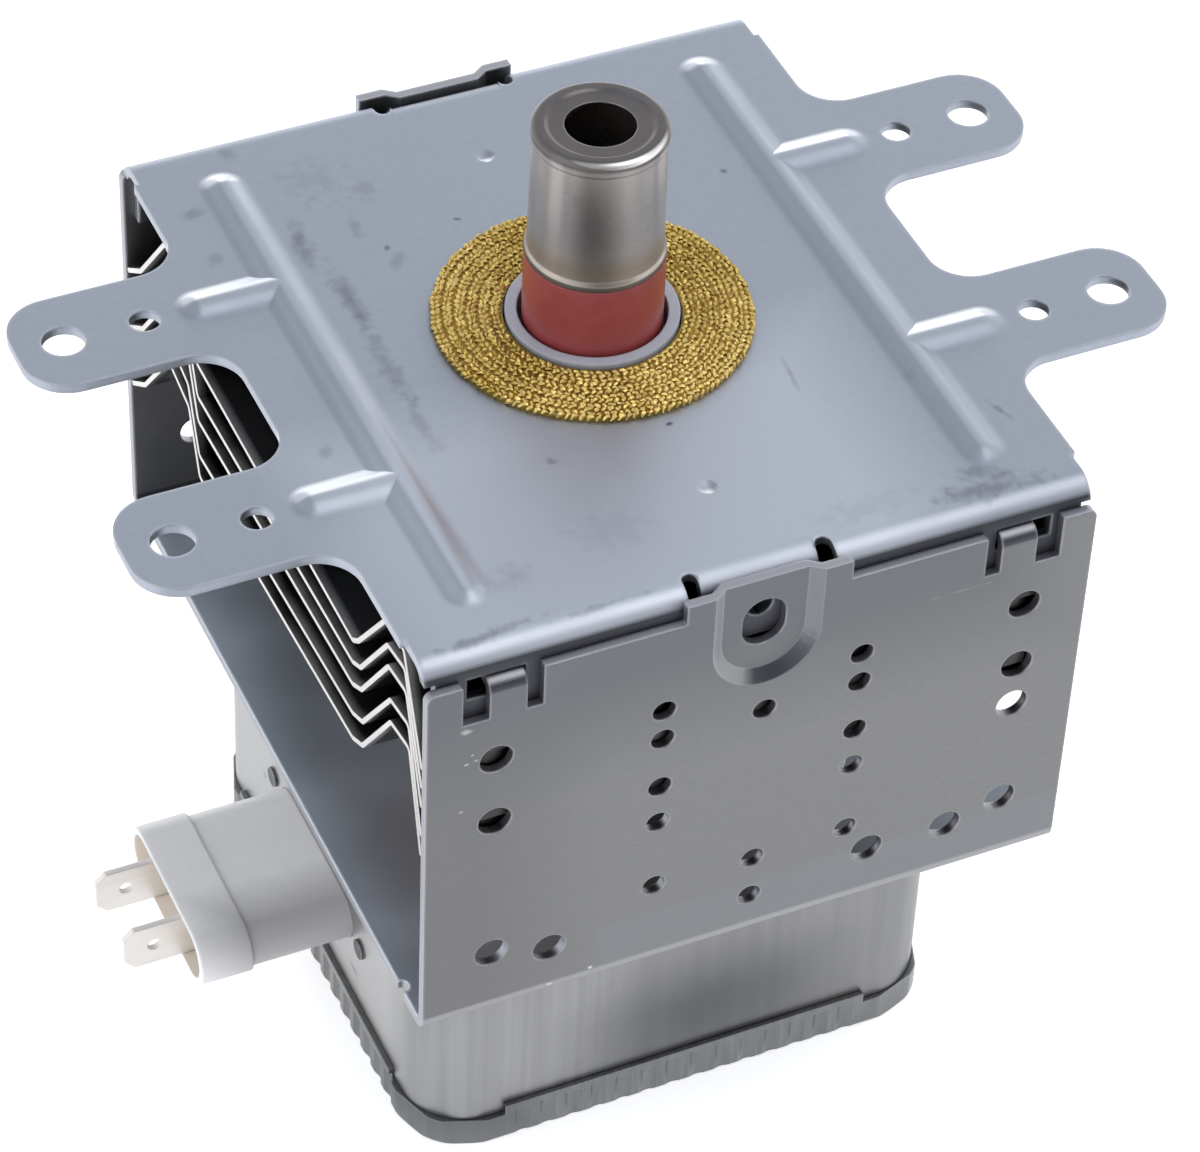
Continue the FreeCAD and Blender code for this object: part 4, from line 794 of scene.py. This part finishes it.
# Painted shade: the exhaust tube, seen deep in the cap's hole, made nearly black.
TUBE_SHADE_FINISH = MetalFinish(
    name="exhaust_tube_shade",
    colour=(0.05, 0.03, 0.025),
    second=(0.08, 0.05, 0.04),
    roughness=0.5,
)
BEAD_GLEAM = PaintedLean(
    towards=(0.07, -0.9, 0.9),
    colour=(0.95, 0.92, 0.90),
    strength=0.95,
    slight=1.03,
    steep=2.0,
    low=(-12.0, -12.0, 25.5),
    high=(12.0, -2.0, 32.0),
)
CAP_FINISH = MetalFinish(
    name="cap_stainless",
    colour=(0.465, 0.425, 0.385),
    second=(0.525, 0.485, 0.445),
    stretch=(0.25, 0.25, 5.0),
    scale=1400.0,
    roughness=0.30,
    spread=0.03,
    edge_highlight_colour=(0.75, 0.72, 0.70),
    edge_highlight_share=0.25,
    brushed=0.8,
    patches=(
        Patch((-20.0, -20.0, 10.2), (20.0, 20.0, 14.6), (0.42, 0.32, 0.21), 0.75, 2.6),
        Patch((-8.5, -8.5, 9.0), (8.5, 8.5, 10.6), (0.16, 0.15, 0.14), 0.8, 0.2),
        # Painted shade over the cap's top, reaching down to a dark line under the bead.
        Patch((-20.0, -20.0, 26.3), (20.0, 20.0, 40.0), (0.10, 0.092, 0.096), 0.88, 0.4),
    ),
    painted_leans=(BEAD_GLEAM,),
    marks=(
        # Painted dark reflection down the cap's front.
        Mark((-4.0, -7.2, 19.0), (4.6, 4.6, 16.0), 0.9, ragged=0.05, colour=(0.11, 0.10, 0.09), scale=80.0),
        Mark((-5.2, -6.0, 22.0), (1.3, 1.3, 1.0), 0.3, ragged=1.2, colour=(0.2, 0.17, 0.15)),
    ),
)
TUBE_FINISH = MetalFinish(
    name="tube_steel_clean",
    colour=(0.50, 0.50, 0.53),
    second=(0.56, 0.56, 0.59),
    roughness=0.34,
)
COLLAR_FINISH = MetalFinish(
    name="collar_plated",
    colour=(0.42, 0.44, 0.50),
    second=(0.46, 0.48, 0.54),
    roughness=0.6,
    metallic=0.2,
    edge_highlight_share=0.1,
)
TAB_FINISH = MetalFinish(
    name="tab_tin",
    colour=(0.80, 0.76, 0.72),
    second=(0.86, 0.82, 0.78),
    stretch=(0.1, 1.0, 1.0),
    roughness=0.42,
    metallic=0.35,
    edge_highlight_colour=(0.95, 0.93, 0.9),
)
COPPER_FINISH = MetalFinish(
    name="bare_copper",
    colour=(0.75, 0.36, 0.22),
    second=(0.85, 0.45, 0.3),
    roughness=0.33,
)
CATHODE_FINISH = MetalFinish(
    name="hot_metal",
    colour=(0.36, 0.35, 0.34),
    second=(0.45, 0.44, 0.43),
    roughness=0.4,
)
GOLD_FINISH = MetalFinish(
    name="gasket_wire",
    colour=(0.38, 0.25, 0.045),
    second=(0.78, 0.60, 0.21),
    scale=2500.0,
    # Painted light on the front part of the gasket.
    patches=(Patch((-22.0, -40.0, -20.0), (22.0, -8.0, 20.0), (0.95, 0.73, 0.28), 0.4, 4.0),),
    roughness=0.34,
    edge_radius=0.0001,
    edge_highlight_colour=(0.9, 0.8, 0.45),
    edge_highlight_share=0.2,
)
# Painted shade: a darker copy of the gasket's gold for the core between the loops.
GOLD_SHADE = MetalFinish(
    name="gasket_shade",
    colour=(0.27, 0.17, 0.03),
    second=(0.42, 0.28, 0.06),
    scale=2500.0,
    roughness=0.5,
    edge_radius=0.0001,
    edge_highlight_share=0.0,
)


@dataclass(frozen=True)
class DullFinish:
    """A ceramic, ferrite or plastic surface."""

    name: str
    colour: Triple
    second: Triple
    roughness: float = 0.5
    spread: float = 0.06
    scale: float = 500.0
    edge_radius: float = 0.4 * MM
    bump: float = 0.04
    patches: tuple[Patch, ...] = ()
    inside: Triple | None = None
    axis: Triple = (0.0, 0.0, 0.0)

    def make(self, effects: Effects) -> bpy.types.Material:
        """Build the material.

        Args:
            effects: the shared effects.

        Returns:
            The material.
        """
        material, tree, shader = new_material(self.name)
        fine = tree.effect(effects.grain, Scale=self.scale, Detail=4.0).outputs[0]
        cloud = tree.effect(effects.grain, Scale=90.0, Detail=3.0).outputs[0]
        edge = tree.effect(effects.edge, Radius=self.edge_radius)
        tone = tree.math("MULTIPLY", tree.math("ADD", fine, cloud), 0.5)
        colour = tree.mix(tree.span(tone, TONE_LOW, TONE_HIGH), self.colour, self.second)
        for patch in self.patches:
            colour = add_patch(tree, effects, patch, colour)
        if self.inside is not None:
            inward = tree.effect(effects.inward, Axis=in_metres(self.axis)).outputs[0]
            colour = tree.mix(inward, colour, self.inside)
        tree.put(shader.inputs["Base Color"], colour)
        low, high = self.roughness - self.spread, self.roughness + self.spread
        tree.put(shader.inputs["Roughness"], tree.span(fine, 0.3, 0.7, low, high))
        add_bump(tree, shader, self.bump, fine, edge.outputs["Normal"])
        return material


CERAMIC_FINISH = DullFinish(
    name="red_ceramic",
    colour=(0.31, 0.055, 0.055),
    second=(0.35, 0.066, 0.066),
    roughness=0.34,
)
FERRITE_FINISH = DullFinish(
    name="grey_ferrite",
    colour=(0.06, 0.06, 0.065),
    second=(0.1, 0.1, 0.1),
    roughness=0.6,
)
PLASTIC_FINISH = DullFinish(
    name="white_plastic",
    colour=(0.84, 0.83, 0.835),
    second=(0.87, 0.86, 0.865),
    roughness=0.45,
    bump=0.02,
    patches=(
        # Painted shade: the connector a little darker, and darker still on its front side.
        Patch((-46.0, -30.0, -90.0), (-10.0, 30.0, -60.0), (0.60, 0.59, 0.60), 0.08, 9.0),
        Patch((-53.0, -40.0, -110.0), (0.0, -2.0, -40.0), (0.40, 0.39, 0.40), 0.85, 7.0),
    ),
    inside=(0.90, 0.82, 0.72),
    axis=(0.0, 0.2, -76.8),
)

FINISHES: dict[Slot, MetalFinish | DullFinish] = {
    Slot.PLATE: PLATE_FINISH,
    Slot.YOKE: YOKE_FINISH,
    Slot.ALUMINIUM: FIN_FINISH,
    Slot.FERRITE: FERRITE_FINISH,
    Slot.COPPER: COPPER_FINISH,
    Slot.CERAMIC: CERAMIC_FINISH,
    Slot.CAP: CAP_FINISH,
    Slot.CATHODE: CATHODE_FINISH,
    Slot.BOX: BOX_FINISH,
    Slot.PLASTIC: PLASTIC_FINISH,
    Slot.TABS: TAB_FINISH,
    Slot.MESH: GOLD_FINISH,
    Slot.TUBE: TUBE_FINISH,
}
OWN_FINISHES: dict[str, MetalFinish] = {
    "filter_box_lid": LID_FINISH,
    "output_seal_sleeve": COLLAR_FINISH,
    "capacitor_rivets": RIVET_FINISH,
    "exhaust_tube": TUBE_SHADE_FINISH,
}


@dataclass
class Metalwork:
    """The pieces whose solids are right as they are, each dressed by its slot."""

    nodes: dict[str, bpy.types.Object]
    materials: dict[Slot, bpy.types.Material]
    own: dict[str, bpy.types.Material]

    def dress(self) -> None:
        """Give every node its own finish, or else the finish of its slot."""
        for name, node in sorted(self.nodes.items()):
            for place in node.material_slots:
                slot = Slot(place.material.name.split(".")[0]) if place.material else Slot.TUBE
                place.material = self.own.get(name, self.materials[slot])
            LOG.info("dressed %s", name)


@dataclass
class Gasket:
    """The knitted ring round the output: rows of small slanted loops over a flat core."""

    material: bpy.types.Material
    shade: bpy.types.Material
    inner: float = 10.3 * MM
    rows: int = 6
    first_strand: float = 0.28
    strand_step: float = 0.44
    row_turn: float = 0.37
    stitch_pitch: float = 0.85 * MM
    slant: float = 32.0
    strand_sides: int = 5
    strand_cuts: int = 4
    strand_share: float = 0.82
    wire_share: float = 0.30
    wire_flatness: float = 1.15
    wire_taper: float = 0.45
    wire_rise: float = 0.9
    wire_arch: float = 1.5
    wire_depth: float = 1.9
    wander: float = 0.27 * MM
    wander_scale: float = 900.0
    fine_wander: float = 0.5
    fine_scale: float = 2.7
    wander_lift: float = 0.6
    wander_seed: int = 7
    core_sides: int = 96
    core_inset: float = 0.1 * MM
    core_rim: float = 0.25 * MM
    core_lift: float = 0.02 * MM
    core_share: float = 0.62

    def build(self) -> list[bpy.types.Object]:
        """Build the core and the knitted rows.

        Returns:
            The core and the joined rows.
        """
        low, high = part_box("rf_gasket")
        core = self._core(high.x, high.z)
        row_width = (high.x - self.inner) / self.rows
        strands = []
        for row in range(self.rows):
            for half in (0, 1):
                radius = self.inner + row_width * (row + self.first_strand + self.strand_step * half)
                strands.append(self._round(radius, row_width, high.z, 1 - 2 * half, row))
        deselect()
        for strand in strands:
            strand.select_set(True)
        bpy.context.view_layer.objects.active = strands[0]
        bpy.ops.object.join()
        knit = bpy.context.view_layer.objects.active
        knit.name = "gasket_knit"
        self._unsettle(knit, low, high)
        finish_piece(knit, self.material)
        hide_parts("rf_gasket")
        return [core, knit]

    def _unsettle(self, knit: bpy.types.Object, low: Vector, high: Vector) -> None:
        """Push the loops unevenly, as knitted wire lies, inside the ring's own circle and height.

        Args:
            knit: the joined rows.
            low: the low corner of the ring's box.
            high: the high corner of the ring's box.
        """
        noise.seed_set(self.wander_seed)
        for vertex in knit.data.vertices:
            broad = noise.noise_vector(vertex.co * self.wander_scale)
            fine = noise.noise_vector(vertex.co * self.fine_scale * self.wander_scale)
            push = broad + self.fine_wander * fine
            moved = vertex.co + self.wander * Vector((push.x, push.y, self.wander_lift * push.z))
            reach = math.hypot(moved.x, moved.y)
            if reach > high.x:
                moved.x, moved.y = moved.x * high.x / reach, moved.y * high.x / reach
            moved.z = min(max(moved.z, low.z), high.z)
            vertex.co = moved

    def _core(self, outer: float, top: float) -> bpy.types.Object:
        """Build the flat ring that carries the loops.

        Args:
            outer: the gasket's radius.
            top: the gasket's height.

        Returns:
            The core.
        """
        bore = self.inner - self.core_inset
        place = (0, 0, self.core_lift)
        deselect()
        bpy.ops.mesh.primitive_circle_add(vertices=self.core_sides, radius=bore, location=place)
        core = bpy.context.active_object
        core.name = "gasket_core"
        wide = (outer - self.core_rim) / bore
        bpy.ops.object.mode_set(mode="EDIT")
        bpy.ops.mesh.select_all(action="SELECT")
        bpy.ops.mesh.extrude_region_move()
        bpy.ops.transform.resize(value=(wide, wide, 1))
        bpy.ops.mesh.select_all(action="SELECT")
        up = {"value": (0, 0, top * self.core_share)}
        bpy.ops.mesh.extrude_region_move(TRANSFORM_OT_translate=up)
        bpy.ops.mesh.select_all(action="SELECT")
        bpy.ops.mesh.normals_make_consistent(inside=False)
        bpy.ops.object.mode_set(mode="OBJECT")
        finish_piece(core, self.shade)
        return core

    def _round(self, radius: float, row_width: float, top: float, side: int, row: int) -> bpy.types.Object:
        """Build one circle of slanted strands.

        Args:
            radius: the circle's radius.
            row_width: the width of a knitted row.
            top: the gasket's height.
            side: 1 or -1, the way the strands slant.
            row: the row's number, from the inside.

        Returns:
            The circle of strands.
        """
        thick = self.stitch_pitch * self.wire_share
        strand = self._strand(row_width * self.strand_share, thick)
        lay = Euler((math.radians(90), 0, 0)).to_matrix()
        slant = Matrix.Rotation(math.radians(90 + side * (90 - self.slant)), 3, "Z")
        middle = top - thick * self.wire_depth
        for vertex in strand.data.vertices:
            turned = slant @ (lay @ vertex.co)
            vertex.co = Vector((radius + turned.x, turned.y, middle + turned.z))
        self._repeat(strand, round(2 * math.pi * radius / self.stitch_pitch))
        strand.data.transform(Matrix.Rotation(self.row_turn * row, 4, "Z"))
        return strand

    def _strand(self, length: float, thick: float) -> bpy.types.Object:
        """Build one short piece of wire along Z, arched and thinner towards its ends.

        Args:
            length: its length.
            thick: its radius.

        Returns:
            The piece.
        """
        deselect()
        bpy.ops.mesh.primitive_cylinder_add(vertices=self.strand_sides, radius=thick, depth=length)
        strand = bpy.context.active_object
        bpy.ops.object.mode_set(mode="EDIT")
        for cut in range(1, self.strand_cuts):
            height = length * (cut / self.strand_cuts - 0.5)
            bpy.ops.mesh.select_all(action="SELECT")
            bpy.ops.mesh.bisect(plane_co=(0, 0, height), plane_no=(0, 0, 1))
        bpy.ops.object.mode_set(mode="OBJECT")
        for vertex in strand.data.vertices:
            along = vertex.co.z / (length / 2)
            swell = 1.0 - self.wire_taper * along * along
            vertex.co.x *= swell * self.wire_flatness
            vertex.co.y *= swell
            vertex.co.y += thick * (self.wire_rise - self.wire_arch * along * along)
        return strand

    @staticmethod
    def _repeat(strand: bpy.types.Object, count: int) -> None:
        """Repeat a strand round the Z axis.

        Args:
            strand: the strand.
            count: how many there are in the circle.
        """
        turn = bpy.data.objects.new("stitch_turn", None)
        bpy.context.scene.collection.objects.link(turn)
        turn.rotation_euler = (0, 0, 2 * math.pi / count)
        array = strand.modifiers.new("round", "ARRAY")
        array.use_relative_offset = False
        array.use_object_offset = True
        array.offset_object = turn
        array.count = count
        bpy.context.view_layer.update()
        bpy.context.view_layer.objects.active = strand
        strand.select_set(True)
        bpy.ops.object.modifier_apply(modifier=array.name)
        bpy.data.objects.remove(turn)


def deselect() -> None:
    """Deselect everything and leave no object active."""
    bpy.ops.object.select_all(action="DESELECT")
    bpy.context.view_layer.objects.active = None


def finish_piece(piece: bpy.types.Object, material: bpy.types.Material) -> None:
    """Put a new piece on the body with its material.

    Args:
        piece: the piece.
        material: its material.
    """
    deselect()
    piece.select_set(True)
    bpy.context.view_layer.objects.active = piece
    bpy.ops.object.transform_apply(location=True, rotation=True, scale=True)
    bpy.ops.object.shade_smooth_by_angle(angle=FLAT_ANGLE)
    piece.data.materials.clear()
    piece.data.materials.append(material)
    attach(piece, BODY)
    LOG.info("built %s with %d faces", piece.name, len(piece.data.polygons))


@dataclass(frozen=True)
class Softbox:
    """A soft rectangular light that faces a point."""

    name: str
    place: Triple
    aim: Triple
    width: float
    height: float
    radiance: float
    colour: Triple = (1.0, 1.0, 1.0)

    def build(self) -> None:
        """Build the light."""
        light = bpy.data.lights.new(self.name, "AREA")
        light.shape = "RECTANGLE"
        light.size = self.width
        light.size_y = self.height
        light.energy = self.radiance * math.pi * self.width * self.height
        light.color = self.colour
        lamp = bpy.data.objects.new(self.name, light)
        bpy.context.scene.collection.objects.link(lamp)
        lamp.location = self.place
        lamp.rotation_euler = (Vector(self.place) - Vector(self.aim)).to_track_quat("Z", "Y").to_euler()


@dataclass
class Studio:
    """Pale floor, soft light and the camera of the photograph."""

    floor_half: float = 3.0
    floor_colour: Triple = (0.95, 0.95, 0.95)
    floor_glow: float = 0.5
    sky_low: Triple = (1.25, 1.25, 1.26)
    sky_high: Triple = (0.66, 0.70, 0.76)
    shade_side: Triple = (0.05, -0.97, 0.24)
    shade_colour: Triple = (0.30, 0.30, 0.31)
    panel_side: Triple = (0.33, -0.28, 0.90)
    panel_colour: Triple = (2.1, 2.1, 2.15)
    camera_place: Triple = (-0.177537, -0.372239, 0.348616)
    camera_turn: Triple = (46.6342, -2.0150, -23.9166)
    lens: float = 143.11
    sensor: float = 36.0
    lights: tuple[Softbox, ...] = (
        Softbox("low_right_back", (0.9, 0.9, 0.32), (0.0, 0.0, 0.0), 0.9, 0.4, 0.5),
        Softbox("low_back", (0.45, 1.3, 0.06), (0.0, 0.0, 0.0), 1.1, 0.3, 1.6),
        Softbox("over_left", (-0.9, -0.1, 0.8), (0.0, 0.0, -0.04), 0.8, 0.6, 0.9),
    )

    def build(self) -> None:
        """Build floor, world, lights and camera."""
        self._floor()
        self._world()
        for light in self.lights:
            light.build()
        self._camera()
        bpy.context.scene.view_settings.view_transform = "Standard"
        LOG.info("built the studio")

    def _floor(self) -> None:
        """Build the floor at the lowest point of the object."""
        low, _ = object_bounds()
        size = 2 * self.floor_half
        deselect()
        bpy.ops.mesh.primitive_grid_add(x_subdivisions=4, y_subdivisions=4, size=size, location=(0, 0, low.z))
        floor = bpy.context.active_object
        floor.name = "studio_floor"
        material, tree, shader = new_material("floor_paper")
        cloud = tree.node("ShaderNodeTexNoise", {"Vector": tree.place(), "Scale": 3.0}).outputs["Fac"]
        lighter = tuple(value + 0.01 for value in self.floor_colour)
        tree.put(shader.inputs["Base Color"], tree.mix(cloud, self.floor_colour, lighter))
        shader.inputs["Roughness"].default_value = 0.9
        shader.inputs["Emission Color"].default_value = (1.0, 1.0, 1.0, 1.0)
        shader.inputs["Emission Strength"].default_value = self.floor_glow
        floor.data.materials.append(material)
        floor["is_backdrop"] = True

    def _world(self) -> None:
        """Build the surroundings: pale near the horizon and darker overhead."""
        world = bpy.data.worlds.new("studio")
        world.use_nodes = True
        tree = Tree(world.node_tree)
        world.node_tree.nodes.clear()
        direction = tree.node("ShaderNodeTexCoord").outputs["Generated"]
        height = tree.node("ShaderNodeSeparateXYZ", {0: direction}).outputs[2]
        sky = tree.mix(tree.span(height, 0.12, 0.85), self.sky_low, self.sky_high)
        shade = tree.span(tree.vector("DOT_PRODUCT", direction, self.shade_side), 0.70, 0.96)
        sky = tree.mix(shade, sky, self.shade_colour)
        panel = tree.span(tree.vector("DOT_PRODUCT", direction, self.panel_side), 0.90, 0.975)
        sky = tree.mix(panel, sky, self.panel_colour)
        background = tree.node("ShaderNodeBackground", {"Color": sky, "Strength": 1.0})
        output = tree.node("ShaderNodeOutputWorld")
        tree.put(output.inputs["Surface"], background.outputs[0])
        bpy.context.scene.world = world

    def _camera(self) -> None:
        """Build the camera at the photograph's place and angle."""
        data = bpy.data.cameras.new("camera")
        data.sensor_fit = "HORIZONTAL"
        data.sensor_width = self.sensor
        data.lens = self.lens
        data.clip_start = 0.01
        camera = bpy.data.objects.new("camera", data)
        camera.location = self.camera_place
        camera.rotation_euler = tuple(math.radians(value) for value in self.camera_turn)
        bpy.context.scene.collection.objects.link(camera)
        bpy.context.scene.camera = camera


def main() -> None:
    """Dress the frame, build the fine pieces and set the studio."""
    logging.basicConfig(level=logging.INFO, format="%(message)s")
    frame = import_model()
    effects = Effects()
    materials = {slot: finish.make(effects) for slot, finish in FINISHES.items()}
    own = {node: finish.make(effects) for node, finish in OWN_FINISHES.items()}
    Metalwork(frame["nodes"], materials, own).dress()
    Gasket(materials[Slot.MESH], GOLD_SHADE.make(effects)).build()
    Studio().build()


if __name__ == "__main__":
    main()
